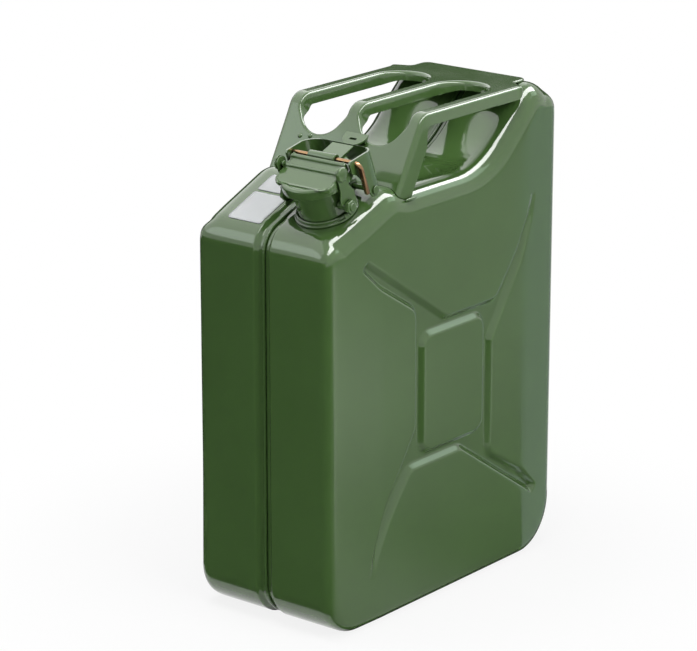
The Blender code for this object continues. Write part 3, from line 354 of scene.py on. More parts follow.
def gloss_paint(name, roughness, sheet_wave=0.0, darkest_painted_shade=0.25):
    """Glossy enamel on steel: olive with slow shifts, a hard coat, a fine skin and painted shade in
    the hollows.
    """
    mat = bpy.data.materials.new(name)
    mat.use_nodes = True
    tree = mat.node_tree
    place = object_place(tree)
    tone = ramp(tree, noise(tree, place, 9.0, 3.0),
                (0.3, shade_of(OLIVE, 0.94)), (0.7, shade_of(OLIVE, 1.06)))
    # Painted shade: ambient occlusion darkens the colour and weakens the gloss in hollows, seams and
    # corners, where shade falls
    hollow = add_node(tree, "AmbientOcclusion", {"Distance": HOLLOW_REACH}, samples=8)
    painted_shade = ramp(tree, hollow.outputs["AO"], (0.25, grey(darkest_painted_shade)), (0.75, grey(1.0)))
    shade_darkened_tone = add_node(tree, "Mix", {"Factor": 1.0, "A": tone, "B": painted_shade},
                     data_type="RGBA", blend_type="MULTIPLY")
    shine = calculated(tree, "MULTIPLY", painted_shade, 0.5)
    gloss = ramp(tree, noise(tree, place, 26.0, 4.0, 0.6),
                 (0.35, grey(roughness * 0.8)), (0.75, grey(roughness * 1.5)))
    skin = bump(tree, noise(tree, place, 900.0, 1.0), 0.00002, 0.06)
    if sheet_wave:
        skin = bump(tree, noise(tree, place, 7.5, 1.0), sheet_wave, 1.0, skin)
    feed(tree, tree.nodes["Principled BSDF"], {
        "Base Color": shade_darkened_tone.outputs["Result"], "Specular IOR Level": shine, "Coat Weight": shine,
        "Roughness": gloss, "Normal": skin, "Coat Roughness": 0.03, "IOR": 1.5})
    return mat


# Every enamel has painted shade in its hollows; the bead's painted shade is faint
body_paint = gloss_paint("body_enamel", 0.09, sheet_wave=0.0012)
fitting_paint = gloss_paint("fitting_enamel", 0.12)
bead_paint = gloss_paint("bead_enamel", 0.12, darkest_painted_shade=0.9)
print("three enamels mixed")

# %% [markdown]
# ## Rubber, wire, bare steel and film
# Small parts have their own finishes: black rubber for the gasket, yellow passivated wire for the
# locking pin, bare drawn steel for the breather tube, and white film for the label. Flat values
# would look like plastic. One recipe does for all of them instead: a colour that drifts a little,
# and a grain in the roughness and the surface.

# %% Small finishes


def plain_finish(name, colour, roughness, metallic=0.0, grain=300.0, depth=0.00002, spread=0.1):
    mat = bpy.data.materials.new(name)
    mat.use_nodes = True
    tree = mat.node_tree
    place = object_place(tree)
    fine = noise(tree, place, grain, 3.0)
    dark, light = shade_of(colour, 1 - spread), shade_of(colour, 1 + spread)
    feed(tree, tree.nodes["Principled BSDF"], {
        "Base Color": ramp(tree, noise(tree, place, grain / 6, 3.0), (0.3, dark), (0.7, light)),
        "Roughness": ramp(tree, fine, (0.3, grey(roughness * 0.8)), (0.7, grey(roughness * 1.2))),
        "Normal": bump(tree, fine, depth, 0.3), "Metallic": metallic})
    return mat


gasket_rubber = plain_finish("gasket_rubber", grey(0.018), 0.6)
pin_zinc = plain_finish("yellow_zinc", (0.31, 0.19, 0.10), 0.22, metallic=1.0, grain=500.0)
breather_steel = plain_finish("drawn_steel", (0.45, 0.45, 0.43), 0.35, metallic=1.0)
label_film = plain_finish("label_film", (0.54, 0.555, 0.56), 0.42, grain=700.0, depth=0.00001,
                          spread=0.02)
print("four small finishes ready")

# %% [markdown]
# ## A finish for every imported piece
# Most of the can is fitting paint, so only the pieces that have another finish are listed. New
# pieces look their finish up in the same list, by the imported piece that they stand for.

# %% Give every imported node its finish
finish_of_node = {"spout_half_shell": body_paint, "plain_half_shell": body_paint,
                  "seam_weld": bead_paint, "cap_gasket": gasket_rubber, "locking_pin": pin_zinc,
                  "breather_tube": breather_steel, "shoulder_label": label_film}
for name, node in nodes.items():
    node.data.materials.clear()
    node.data.materials.append(finish_of_node.get(name, fitting_paint))
print("finishes assigned to", len(nodes), "pieces")

# %% [markdown]
# ## The outline of a pressed half
# Seen from its wide side the can is a rounded box with a sloping shoulder, a saddle under the
# handle and a raised rear. On the real can this outline is the edge of the press die. A list of
# corners with a radius for each gives it: every corner becomes an arc, and the straight runs stay
# straight.

# %% Sizes of the pressed halves
shell_low, shell_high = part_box("spout_half_shell")
HALF_WIDTH, HALF_DEPTH, HEIGHT = shell_high.x, -shell_low.y, shell_high.z
EDGE_R = 0.022
SHEET = 0.001
SHOULDER_WALL_Z = HEIGHT - 0.0935
SHOULDER = math.radians(22.0)
HUMP_BACK = 0.0905
SADDLE_Z = HEIGHT - 0.0632
SADDLE_FRONT_X = -HALF_WIDTH + 0.1145
SADDLE_REAR_X = HALF_WIDTH - 0.1125
REAR_RISE_X = HALF_WIDTH - 0.0425
HUMP_X = -HALF_WIDTH + HUMP_BACK
HUMP_Z = SHOULDER_WALL_Z + HUMP_BACK * math.tan(SHOULDER)
SIDE_CORNERS = (
    (-HALF_WIDTH, 0.0, 0.040), (HALF_WIDTH, 0.0, 0.050), (HALF_WIDTH, HEIGHT, 0.033),
    (REAR_RISE_X, HEIGHT, 0.024), (SADDLE_REAR_X, SADDLE_Z, 0.090),
    (SADDLE_FRONT_X, SADDLE_Z, 0.030), (HUMP_X, HUMP_Z, 0.030),
    (-HALF_WIDTH, SHOULDER_WALL_Z, 0.030),
)
print("half width, half depth, height:",
      [round(size, 4) for size in (HALF_WIDTH, HALF_DEPTH, HEIGHT)])

# %% Outline with round corners
SHOULDER_SPACING = 0.0025
TOP_SPACING = 0.0035
SIDE_SPACING = 0.008


def round_outline(corners, step_deg=6.0):
    """Places and outward normals along an anticlockwise outline; a corner is x, z and radius."""
    line = []
    for i, (x, z, radius) in enumerate(corners):
        here = Vector((x, z))
        back = (Vector(corners[i - 1][:2]) - here).normalized()
        ahead = (Vector(corners[(i + 1) % len(corners)][:2]) - here).normalized()
        turn = math.atan2((-back).cross(ahead), (-back).dot(ahead))
        side = math.copysign(1.0, turn)
        start = here + back * radius * math.tan(abs(turn) / 2)
        normal = Vector((-back.y, back.x))
        centre = start - normal * radius * side
        steps = max(1, round(math.degrees(abs(turn)) / step_deg))
        for k in range(steps + 1):
            ray = Matrix.Rotation(turn * k / steps, 2) @ normal
            line.append((centre + ray * radius * side, ray))
    return line


def with_more_points(line, spacing):
    """The same outline with points no further apart than the spacing at each place."""
    full = []
    for i, (place, normal) in enumerate(line):
        after, next_normal = line[(i + 1) % len(line)]
        run = after - place
        pieces = max(1, math.ceil(run.length / spacing(place + run / 2)))
        for k in range(pieces):
            share = k / pieces
            full.append((place + run * share, normal.lerp(next_normal, share).normalized()))
    return full


def side_spacing(place):
    if place.y <= SHOULDER_WALL_Z:
        return SIDE_SPACING
    return SHOULDER_SPACING if place.x < HUMP_X else TOP_SPACING


side_line = with_more_points(round_outline(SIDE_CORNERS), side_spacing)
print("outline points:", len(side_line))

# %% [markdown]
# ## The pressed cross
# Each wide face has a cross pressed 5.5 mm into it, with a raised island in the middle. Pressing
# stretches the sheet over the die's rounded edge, so each wall is a slope with a round at either
# end. Two arms end round, and the other two run out into the face. Sculpting could follow that
# roughly. A distance to the cross's outline, put through the slope, gives the depth at any place
# on the face, and makes every wall alike.

# %% Outlines of the cross and its island
CROSS_CENTRE = Vector((0.0075, 0.2059))
CROSS_REACH = HALF_WIDTH - 0.036
CROSS_RISE = 0.1611
CROSS_BEND_R = 0.014
CROSS_TIP_R = 0.004
CROSS_STEP_DEG = 10.0
CHANNEL_WIDTH = 0.0139
ISLAND_R = 0.011
SQUARE = ((-1, -1), (1, -1), (1, 1), (-1, 1))
# One half of the cross, as shares of its reach, its rise and its bend radius
half_cross_shares = (
    (-0.432, 0.516, 1), (-0.817, 0.717, 3), (-1.000, 0.859, 0), (-0.941, 0.907, 0),
    (-0.084, 0.428, 1), (0.473, 0.428, 1), (0.645, 0.603, 2), (0.714, 0.681, 2),
    (0.813, 0.843, 3), (0.868, 1.000, 0), (0.934, 0.988, 0), (0.883, 0.825, 3),
    (0.791, 0.645, 2), (0.751, 0.576, 2), (0.432, 0.183, 1),
)


def cross_corners():
    """Corners of the whole cross: the half above, and the same half turned by half a turn."""
    corners = []
    for way in (1, -1):
        for x, z, bend in half_cross_shares:
            radius = bend * CROSS_BEND_R if bend else CROSS_TIP_R
            corners.append((CROSS_CENTRE.x + way * x * CROSS_REACH,
                            CROSS_CENTRE.y + way * z * CROSS_RISE, radius))
    return corners[::-1]


cross_line = round_outline(cross_corners(), CROSS_STEP_DEG)
island_half = Vector((-half_cross_shares[0][0] * CROSS_REACH - CHANNEL_WIDTH,
                      half_cross_shares[4][1] * CROSS_RISE - CHANNEL_WIDTH))
island_line = round_outline([(CROSS_CENTRE.x + sx * island_half.x,
                              CROSS_CENTRE.y + sz * island_half.y, ISLAND_R)
                             for sx, sz in SQUARE], CROSS_STEP_DEG)
print("island", [round(2000 * v) for v in island_half], "mm")

# %% Depth of the pressing at any place
CROSS_DEPTH = 0.0055
WALL_RUN = 0.0072
WALL_MIDDLE = 0.0026
WALL_ROUND = 0.28
ARM_FADE_FROM = 0.62
ARM_FADE = 0.85


def smooth(t):
    t = np.clip(t, 0.0, 1.0)
    return t * t * (3.0 - 2.0 * t)


def outline_distance(points, line):
    """Distance from each point to a closed outline, below zero inside it."""
    start = np.array([tuple(place) for place, _ in line])
    run = np.roll(start, -1, axis=0) - start
    from_start = points[:, None, :] - start
    along = np.clip((from_start * run).sum(2) / np.maximum((run ** 2).sum(1), 1e-12), 0.0, 1.0)
    gap = np.linalg.norm(from_start - along[..., None] * run, axis=2).min(1)
    rise = np.where(run[:, 1] == 0.0, 1e-12, run[:, 1])
    above = start[:, 1] > points[:, 1:2]
    next_above = np.roll(start[:, 1], -1) > points[:, 1:2]
    crossing_x = start[:, 0] + from_start[..., 1] / rise * run[:, 0]
    crossed = ((above != next_above) & (points[:, 0:1] < crossing_x)).sum(1)
    return np.where(crossed % 2 == 1, -gap, gap)


def wall_step(t):
    """From 0 to 1 by a straight slope with a short round at each end."""
    t = np.clip(t, 0.0, 1.0)
    full = WALL_ROUND * (1.0 - WALL_ROUND)
    return np.where(t < WALL_ROUND, t * t / (2 * full),
                    np.where(t > 1.0 - WALL_ROUND, 1.0 - (1.0 - t) ** 2 / (2 * full),
                             (t - WALL_ROUND / 2) / (1.0 - WALL_ROUND)))


def press_depth(points):
    outer = outline_distance(points, cross_line)
    middle = outline_distance(points, island_line)
    inside_cross = wall_step(0.5 - (outer + WALL_MIDDLE) / WALL_RUN)
    off_island = wall_step(0.5 + (middle - WALL_MIDDLE) / WALL_RUN)
    across = (points[:, 0] - CROSS_CENTRE.x) / CROSS_REACH
    up = (points[:, 1] - CROSS_CENTRE.y) / CROSS_RISE
    running_out = smooth((np.abs(up) - ARM_FADE_FROM) / (1.0 - ARM_FADE_FROM)) * (across * up > 0)
    return CROSS_DEPTH * inside_cross * off_island * (1.0 - ARM_FADE * running_out)


above_island = np.array([[0.0, CROSS_CENTRE.y + 0.063]])
print("pressed", round(1000 * press_depth(above_island)[0], 2), "mm deep above the island")

# %% [markdown]
# ## The falling margins
# The middle of each wide face is flat. Beside it the sheet falls back by about three degrees
# towards the upright edges, and the crease between the two shows as a faint line in the gloss. A
# hinge that is rounded off, `soft_hinge`, gives that fall.

# %% Fall of the margins
LEFT_CREASE_X = -0.101
RIGHT_CREASE_X = 0.122
SHOULDER_CREASE_Z = 0.352
SHOULDER_CREASE_TURN = math.radians(40.0)
SHOULDER_FALL = 0.8
MARGIN_FALL = math.tan(math.radians(3.2))
CREASE_R = 0.0035
FOOT_FALL = 0.55
FOOT_HEIGHT = 0.16


def soft_hinge(distance):
    """Zero before the crease and the distance after it, with a short round between them."""
    return 0.5 * (distance + np.sqrt(distance ** 2 + CREASE_R ** 2)) - 0.5 * CREASE_R


def margin_fall(points):
    x, z = points[:, 0], points[:, 1]
    beyond = ((z - SHOULDER_CREASE_Z) * math.cos(SHOULDER_CREASE_TURN)
              - (x - LEFT_CREASE_X) * math.sin(SHOULDER_CREASE_TURN))
    left = soft_hinge(np.maximum(LEFT_CREASE_X - x, beyond * SHOULDER_FALL))
    right = soft_hinge(x - RIGHT_CREASE_X)
    low_fade = FOOT_FALL + (1.0 - FOOT_FALL) * smooth(z / FOOT_HEIGHT)
    return MARGIN_FALL * (left * low_fade + right)


at_left_edge = np.array([[-0.150, 0.2]])
print("margin falls", round(1000 * margin_fall(at_left_edge)[0], 2), "mm at the left edge")

# %% [markdown]
# ## A whole half
# Rows of points go from the rim, along the floor of the seam channel, up its rounded side, over
# the wall and round the edge to the wide face. The wide face is filled by a triangulation, whose
# points follow the walls of the cross closely and lie wider apart elsewhere. Solidify then gives
# the sheet its thickness.

# %% Rows round the half
RIM_HALF_GAP = 0.0011
SEAM_FLOOR = 0.0052
SEAM_HALF_WIDTH = 0.0100
SEAM_DEPTH = 0.004
SEAM_STEPS = 8
WALL_STEPS = 36
FLAT_HALF = HALF_DEPTH - EDGE_R
TIGHT_EDGE = 2.6
EDGE_STEPS = 16


def half_rows():
    """Distance from the seam, and inset from the outline, from the rim to the rounded edge."""
    rows = [(RIM_HALF_GAP, SEAM_DEPTH), (0.5 * (RIM_HALF_GAP + SEAM_FLOOR), SEAM_DEPTH)]
    for k in range(SEAM_STEPS + 1):
        share = k / SEAM_STEPS
        rows.append((SEAM_FLOOR + (SEAM_HALF_WIDTH - SEAM_FLOOR) * share,
                     SEAM_DEPTH * (1.0 - float(smooth(share)))))
    for k in range(1, WALL_STEPS + 1):
        rows.append((SEAM_HALF_WIDTH + (FLAT_HALF - SEAM_HALF_WIDTH) * k / WALL_STEPS, 0.0))
    return rows


def edge_rows(normal):
    """The edge beside one outline point: wide and round on top, tighter at sides and below."""
    power = 2.0 + TIGHT_EDGE * float(1.0 - smooth((normal.y - 0.30) / 0.5))
    rows = []
    for k in range(1, EDGE_STEPS + 1):
        angle = math.pi / 2 * k / EDGE_STEPS
        rows.append((FLAT_HALF + EDGE_R * math.sin(angle) ** (2 / power),
                     EDGE_R * (1 - max(math.cos(angle), 0.0) ** (2 / power))))
    return rows


print("rows up to the wide face:", len(half_rows()) + EDGE_STEPS)

# %% Points of the wide face
WALL_SHARES = (-0.6, -0.42, -0.28, -0.14, 0.0, 0.14, 0.28, 0.42, 0.6)
WALL_STEP = 0.0026
WALL_POINT_SLACK = 0.0002
FACE_STEP = 0.0055
FACE_CLEAR = 0.78
CREASE_STEP = 0.004
CREASE_ROW_GAP = 0.0022
CREASE_BELT = 0.007
CREASE_CLEAR = 0.7
BORDER_CLEAR = 0.003
CLOSEST_POINTS = 0.0007


def face_points(border):
    """Points along the cross's walls at several offsets, along the creases, and between them."""
    near_walls = []
    for line, way in ((cross_line, 1), (island_line, -1)):
        dense = with_more_points(line, lambda place: WALL_STEP)
        for share in WALL_SHARES:
            shift = -WALL_MIDDLE * way + WALL_RUN * share
            ring = np.array([tuple(place + normal * shift) for place, normal in dense])
            off_place = np.abs(outline_distance(ring, line) - shift)
            near_walls.append(ring[off_place < WALL_POINT_SLACK])
    near_walls = np.concatenate(near_walls)
    reach_x = np.arange(-HALF_WIDTH, HALF_WIDTH, FACE_STEP)
    reach_z = np.arange(0.0, HEIGHT, FACE_STEP)
    grid = np.array([(x + (k % 2) * FACE_STEP / 2, z)
                     for k, z in enumerate(reach_z) for x in reach_x])
    off_cross = np.abs(outline_distance(grid, cross_line) + WALL_MIDDLE)
    off_island = np.abs(outline_distance(grid, island_line) - WALL_MIDDLE)
    off_crease = np.abs(grid[:, :1] - (LEFT_CREASE_X, RIGHT_CREASE_X)).min(1)
    clear = ((off_cross > WALL_RUN * FACE_CLEAR) & (off_island > WALL_RUN * FACE_CLEAR)
             & (off_crease > CREASE_BELT))
    creases = np.array([(crease + k * CREASE_ROW_GAP, z)
                        for crease in (LEFT_CREASE_X, RIGHT_CREASE_X)
                        for k in range(-2, 3) for z in np.arange(0.0, HEIGHT, CREASE_STEP)])
    off_cross = np.abs(outline_distance(creases, cross_line) + WALL_MIDDLE)
    creases = creases[off_cross > WALL_RUN * CREASE_CLEAR]
    points = np.concatenate((near_walls, grid[clear], creases))
    points = points[outline_distance(points, border) < -BORDER_CLEAR]
    _, first = np.unique(np.round(points / CLOSEST_POINTS), axis=0, return_index=True)
    return points[np.sort(first)]


face_border = [(place - normal * EDGE_R, normal) for place, normal in side_line]
free_points = face_points(face_border)
print("points inside a wide face:", len(free_points))

# %% Build one half
EMBOSS_R = 0.036
EMBOSS_HEIGHT = 0.0007
EMBOSS_WIDTH = 0.0040
EMBOSS_FADE = 0.020
NECK_BASE = Vector((-0.126, -0.038, 0.39299))
neck_along = Vector((math.cos(SHOULDER), 0.0, math.sin(SHOULDER)))
neck_up = Vector((-math.sin(SHOULDER), 0.0, math.cos(SHOULDER)))


def emboss(place):
    """Rise of the soft ring pressed round the neck."""
    away = place - NECK_BASE
    if abs(away.dot(neck_up)) > EMBOSS_R / 3:
        return 0.0
    gap = math.hypot(away.dot(neck_along), away.y) - EMBOSS_R
    on_flat = 1.0 - float(smooth((abs(place.y) - FLAT_HALF + EMBOSS_FADE) / EMBOSS_FADE))
    return EMBOSS_HEIGHT * on_flat * math.exp(-(gap / EMBOSS_WIDTH) ** 2)


def wall_places(way):
    """Points of the rows from the rim to the border of the wide face."""
    places = []
    for distance, inset in half_rows():
        ring = np.array([tuple(place - normal * inset) for place, normal in side_line])
        weight = max(0.0, (distance - SEAM_HALF_WIDTH) / (FLAT_HALF - SEAM_HALF_WIDTH))
        fall = margin_fall(ring) * min(1.0, weight)
        places += [Vector((x, way * (distance - f), z)) for (x, z), f in zip(ring, fall)]
    edges = [edge_rows(normal) for _, normal in side_line]
    for k in range(EDGE_STEPS):
        ring = np.array([tuple(place - normal * edge[k][1])
                         for (place, normal), edge in zip(side_line, edges)])
        places += [Vector((x, way * (edge[k][0] - f), z))
                   for (x, z), edge, f in zip(ring, edges, margin_fall(ring))]
    if way < 0:
        places = [place + neck_up * emboss(place) for place in places]
    return places


def half_mesh(name, way):
    """One pressed half; way is -1 for the side with the spout and 1 for the other."""
    places = wall_places(way)
    count = len(side_line)
    rim = len(places) - count
    faces = []
    for start in range(0, rim, count):
        for i in range(count):
            k = (i + 1) % count
            faces.append((start + i, start + k, start + count + k, start + count + i))
    flat = [place for place, _ in face_border] + [Vector(p) for p in free_points]
    found, _, tris, origin, _, _ = delaunay_2d_cdt(flat, [], [list(range(count))], 1, 1e-7)
    spots = np.array([tuple(v) for v in found])
    depth = press_depth(spots) + margin_fall(spots)
    ids = []
    for (x, z), sunk, source in zip(spots, depth, origin):
        on_border = [k for k in source if k < count]
        if on_border:
            ids.append(rim + on_border[0])
        else:
            ids.append(len(places))
            places.append(Vector((x, way * (HALF_DEPTH - sunk), z)))
    faces += [tuple(ids[i] for i in tri) for tri in tris]
    mesh = bpy.data.meshes.new(name)
    mesh.from_pydata(places, [], faces if way < 0 else [face[::-1] for face in faces])
    mesh.update()
    mesh.polygons.foreach_set("use_smooth", [True] * len(mesh.polygons))
    return mesh


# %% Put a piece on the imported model
SHARP_FROM = math.radians(34.0)
body_of_node = {name: body for body, names in frame["record"]["behaviour"]["bodies"].items()
                for name in names}


def dressed(name, mesh, node, matrix=None):
    """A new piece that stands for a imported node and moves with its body."""
    mesh.materials.clear()
    mesh.materials.append(finish_of_node.get(node, fitting_paint))
    if matrix is not None:
        mesh.transform(matrix)
    piece = placed(name, mesh)
    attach(piece, body_of_node[node])
    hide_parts(node)
    return piece


def thickened(piece, thickness):
    """Gives a surface the thickness of its sheet, on the inner side."""
    skin = piece.modifiers.new("sheet", "SOLIDIFY")
    skin.thickness = thickness
    skin.offset = -1.0
    return piece


def soft_edges(piece, width, sharp_from=SHARP_FROM, harden=True):
    """Rounds the edges that are sharper than an angle or, without one, the edges marked for it."""
    rounding = piece.modifiers.new("soft edges", "BEVEL")
    rounding.width = width
    rounding.segments = 2
    rounding.harden_normals = harden
    rounding.limit_method = "ANGLE" if sharp_from else "WEIGHT"
    if sharp_from:
        rounding.angle_limit = sharp_from


spout_half, plain_half = [
    thickened(dressed(f"{label}_half_pressing", half_mesh(f"{label}_half_pressing", way),
                      f"{label}_half_shell"), SHEET)
    for label, way in (("spout", -1), ("plain", 1))]
print("faces in a half:", len(plain_half.data.polygons))

# %% [markdown]
# ## The opening under the neck
# With the lid up one looks down the neck into the can, so the sheet needs its hole. A round cutter
# is placed on the neck's axis, the cut is worked out once, and the result is kept as the half's
# mesh; the cutter then goes.

# %% Opening under the neck
NECK = Matrix.Translation(NECK_BASE) @ Matrix.Rotation(-SHOULDER, 4, "Y")
OPENING_R = 0.0242
CUTTER_LENGTH = 0.03
cutter_mesh = bpy.data.meshes.new("neck_opening")
bm = bmesh.new()
bmesh.ops.create_cone(bm, cap_ends=True, segments=96, radius1=OPENING_R, radius2=OPENING_R,
                      depth=CUTTER_LENGTH, matrix=NECK)
bm.to_mesh(cutter_mesh)
bm.free()
cutter = placed("neck_opening", cutter_mesh)
opening = spout_half.modifiers.new("opening", "BOOLEAN")
opening.operation = "DIFFERENCE"
opening.solver = "EXACT"
opening.object = cutter
cut_half = spout_half.evaluated_get(bpy.context.evaluated_depsgraph_get())
cut_mesh = bpy.data.meshes.new_from_object(cut_half)
spout_half.modifiers.clear()
spout_half.data = cut_mesh
bpy.data.objects.remove(cutter)
print("opening cut, faces now:", len(cut_mesh.polygons))

# %% [markdown]
# ## Softened copies
# Stamped parts have no sharp edges: the press and the paint round them, and that thin round is what
# catches the light. The imported yoke, its tongue and the hinge knuckle are exact but crisp, so each
# of them is copied, its flat areas are dissolved into single faces, and a bevel rounds every edge
# that is sharper than an angle. On the real yoke the rim comes down towards the back, so the copy's
# rim is lowered there.

# %% Copies with soft edges
YOKE_LEVEL_X = 0.019
YOKE_BACK_X = 0.0452
YOKE_LOW_Z = 0.012
YOKE_TOP_Z = 0.0535
YOKE_BACK_DROP = 0.0085
SAME_PLACE = 0.000002
FLAT_WITHIN = math.radians(0.8)
to_neck = NECK.inverted()


def clean_copy(node):
    """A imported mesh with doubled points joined, flat areas made single faces and smooth shading."""
    mesh = nodes[node].data.copy()
    bm = bmesh.new()
    bm.from_mesh(mesh)
    bmesh.ops.remove_doubles(bm, verts=bm.verts, dist=SAME_PLACE)
    bmesh.ops.dissolve_degenerate(bm, dist=SAME_PLACE, edges=bm.edges)
    bmesh.ops.dissolve_limit(bm, angle_limit=FLAT_WITHIN, verts=bm.verts, edges=bm.edges)
    bmesh.ops.recalc_face_normals(bm, faces=bm.faces)
    for part in (*bm.faces, *bm.edges):
        part.smooth = True
    bm.to_mesh(mesh)
    bm.free()
    for extra in ("custom_normal", "sharp_edge", "sharp_face"):
        if extra in mesh.attributes:
            mesh.attributes.remove(mesh.attributes[extra])
    return mesh


def share_between(value, low, high):
    return min(max((value - low) / (high - low), 0.0), 1.0)


for node, width in (("yoke_tongue", 0.0004), ("hinge_knuckle", 0.0008), ("yoke_strap", 0.0005)):
    copy = clean_copy(node)
    if node == "yoke_strap":
        for vert in copy.vertices:
            spot = to_neck @ vert.co
            spot.z -= (YOKE_BACK_DROP * share_between(spot.x, YOKE_LEVEL_X, YOKE_BACK_X)
                       * share_between(spot.z, YOKE_LOW_Z, YOKE_TOP_Z))
            vert.co = NECK @ spot
    soft_edges(dressed(node + "_soft", copy, node), width)
print("yoke, tongue and knuckle softened")

# %% [markdown]
# ## The pressed handle
# The handle is one shape in five pieces: a rear plate, three bars and a leaning front plate, all
# pressed from the same sheet with a turned-down lip along every edge. The lip's walls lean out a
# little, as a press die needs. One profile makes all of them: it starts on the flat top, goes round
# the corner and ends at the lip's lower edge.

# %% Sizes of the handle
rear_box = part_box("handle_rear_plate")
HANDLE_TOP = rear_box[1].z
HANDLE_HALF_WIDTH = rear_box[1].y
BAR_END_X = rear_box[0].x
PLATE_END_X = rear_box[1].x
BAR_HALF_WIDTH = 0.0095
BAR_DEPTH = HANDLE_TOP - rear_box[0].z
BAR_CORNER_R = 0.0042
LIP_DRAFT = math.radians(11.0)
HANDLE_SHEET = 0.0016
SLOT_MIDDLE = (BAR_HALF_WIDTH + HANDLE_HALF_WIDTH - 2 * BAR_HALF_WIDTH) / 2
SLOT_R = HANDLE_HALF_WIDTH - 2 * BAR_HALF_WIDTH - SLOT_MIDDLE
FRONT_BEND_R = 0.017
FRONT_FLANGE = 0.018
LEAN = math.radians(29.0)
lean_down = Vector((-math.sin(LEAN), 0.0, -math.cos(LEAN)))
lean_in = Vector((math.cos(LEAN), 0.0, -math.sin(LEAN)))
# A lip is its depth, the radius of its corner and the lean of its wall
bar_lip = (BAR_DEPTH, BAR_CORNER_R, LIP_DRAFT)
thin_lip = (0.0019, 0.0017, 0.0)
print("slots are", round(2000 * SLOT_R, 1), "mm wide")

# %% The profile of a lip
TOP_EDGE = 0.0006
CORNER_STEPS = 6


def lip_profile(depth, corner, draft):
    """Inset from the edge and depth below the top, from the flat top to the lower edge."""
    arc_end = math.pi / 2 - draft
    wall_top = corner * (1 - math.cos(arc_end))
    wall_inset = (depth - wall_top) * math.tan(draft)
    profile = [(wall_inset + corner * math.sin(arc_end) + TOP_EDGE, 0.0)]
    for k in range(CORNER_STEPS + 1):
        turn = arc_end * k / CORNER_STEPS
        profile.append((wall_inset + corner * (math.sin(arc_end) - math.sin(turn)),
                        corner * (1 - math.cos(turn))))
    for share in (1 / 3, 2 / 3, 1.0):
        profile.append((wall_inset * (1 - share), wall_top + (depth - wall_top) * share))
    return profile


def mixed(first, second, share):
    return tuple(a + (b - a) * share for a, b in zip(first, second))


print("a bar's lip has", len(lip_profile(*bar_lip)), "points")

# %% [markdown]
# ## From rows of points to a mesh
# Nearly every piece from here on is made in the same way: rows of points are set out, faces join
# each row to the next, and the mesh is turned to its outer side and shaded smooth. Two helpers do
# that work, `bridge` and `mesh_of`. A plate with lips also needs its flat middle, which a
# triangulation fills.

# %% Rows, lips and plates


def bridge(bm, rows, round_row=False, round_trip=False):
    """Faces between neighbouring rows; closed rows or a closed trip join their ends too."""
    for first, second in zip(rows, rows[1:] + rows[:1] if round_trip else rows[1:]):
        for k in range(len(first) if round_row else len(first) - 1):
            j = (k + 1) % len(first)
            bm.faces.new((first[k], first[j], second[j], second[k]))


def mesh_of(name, bm, outward=None):
    """Ends a bmesh as a smooth mesh. An open surface is turned to its outward side."""
    bmesh.ops.recalc_face_normals(bm, faces=bm.faces)
    if outward and sum(face.normal.dot(outward) * face.calc_area() for face in bm.faces) < 0:
        bmesh.ops.reverse_faces(bm, faces=bm.faces)
    mesh = bpy.data.meshes.new(name)
    bm.to_mesh(mesh)
    bm.free()
    mesh.polygons.foreach_set("use_smooth", [True] * len(mesh.polygons))
    return mesh


def handle_piece(name, bm, low_verts, outward, node):
    """Marks a surface's lower edges for a soft bevel and makes it sheet."""
    soft = bm.edges.layers.float.new("bevel_weight_edge")
    low = set(low_verts)
    for edge in bm.edges:
        if edge.is_boundary:
            edge.smooth = False
            edge[soft] = 1.0 if all(vert in low for vert in edge.verts) else 0.0
    piece = thickened(dressed(name, mesh_of(name, bm, outward), node), HANDLE_SHEET)
    soft_edges(piece, 0.0005, sharp_from=None, harden=False)


def lipped_plate(name, node, chains, ends, to_world, outward):
    """A plate with lips. A chain is a row of places, ways out and lips; an end closes it."""
    bm = bmesh.new()
    inner, low = [], []
    for chain, end in zip(chains, ends):
        columns = []
        for place, way_out, lip in chain:
            profile = lip_profile(*lip)
            columns.append([bm.verts.new(to_world(place - way_out * inset, depth))
                            for inset, depth in profile])
            inner.append((place - way_out * profile[0][0], columns[-1][0]))
            low.append(columns[-1][-1])
        bridge(bm, columns)
        for place in end:
            inner.append((place, bm.verts.new(to_world(place, 0.0))))
    flat = [place for place, _ in inner]
    _, _, tris, origin, _, _ = delaunay_2d_cdt(flat, [], [list(range(len(flat)))], 1, 1e-8)
    for tri in tris:
        corners = [inner[origin[i][0]][1] for i in tri]
        if len(set(corners)) == 3 and bm.faces.get(corners) is None:
            bm.faces.new(corners)
    handle_piece(name, bm, low, outward, node)


UP = Vector((0.0, 0.0, 1.0))
ACROSS = Vector((0.0, 1.0, 0.0))
print("helpers for rows and plates ready")

# %% [markdown]
# ## The rear plate
# The rear plate closes the two slots with round ends and fades from full lips beside the bars to a
# thin turned edge where it lies on the can. A boolean could cut the slots, but not turn their
# edges down. Here each point of the edge carries its own lip, so the lips change smoothly along
# the way.

# %% Rear plate
FLANGE_KEEP_X = 0.110
FLANGE_GONE_X = 0.121
SLOT_STEPS = 40
slot_lip = (0.0085, 0.0036, math.radians(5.0))
rear_corners = ((0.0, -HANDLE_HALF_WIDTH, 0.0), (0.117, -HANDLE_HALF_WIDTH, 0.006),
                (0.124, -FLAT_HALF, 0.006), (PLATE_END_X, -FLAT_HALF, 0.008),
                (PLATE_END_X, FLAT_HALF, 0.008), (0.124, FLAT_HALF, 0.006),
                (0.117, HANDLE_HALF_WIDTH, 0.006), (0.0, HANDLE_HALF_WIDTH, 0.0))


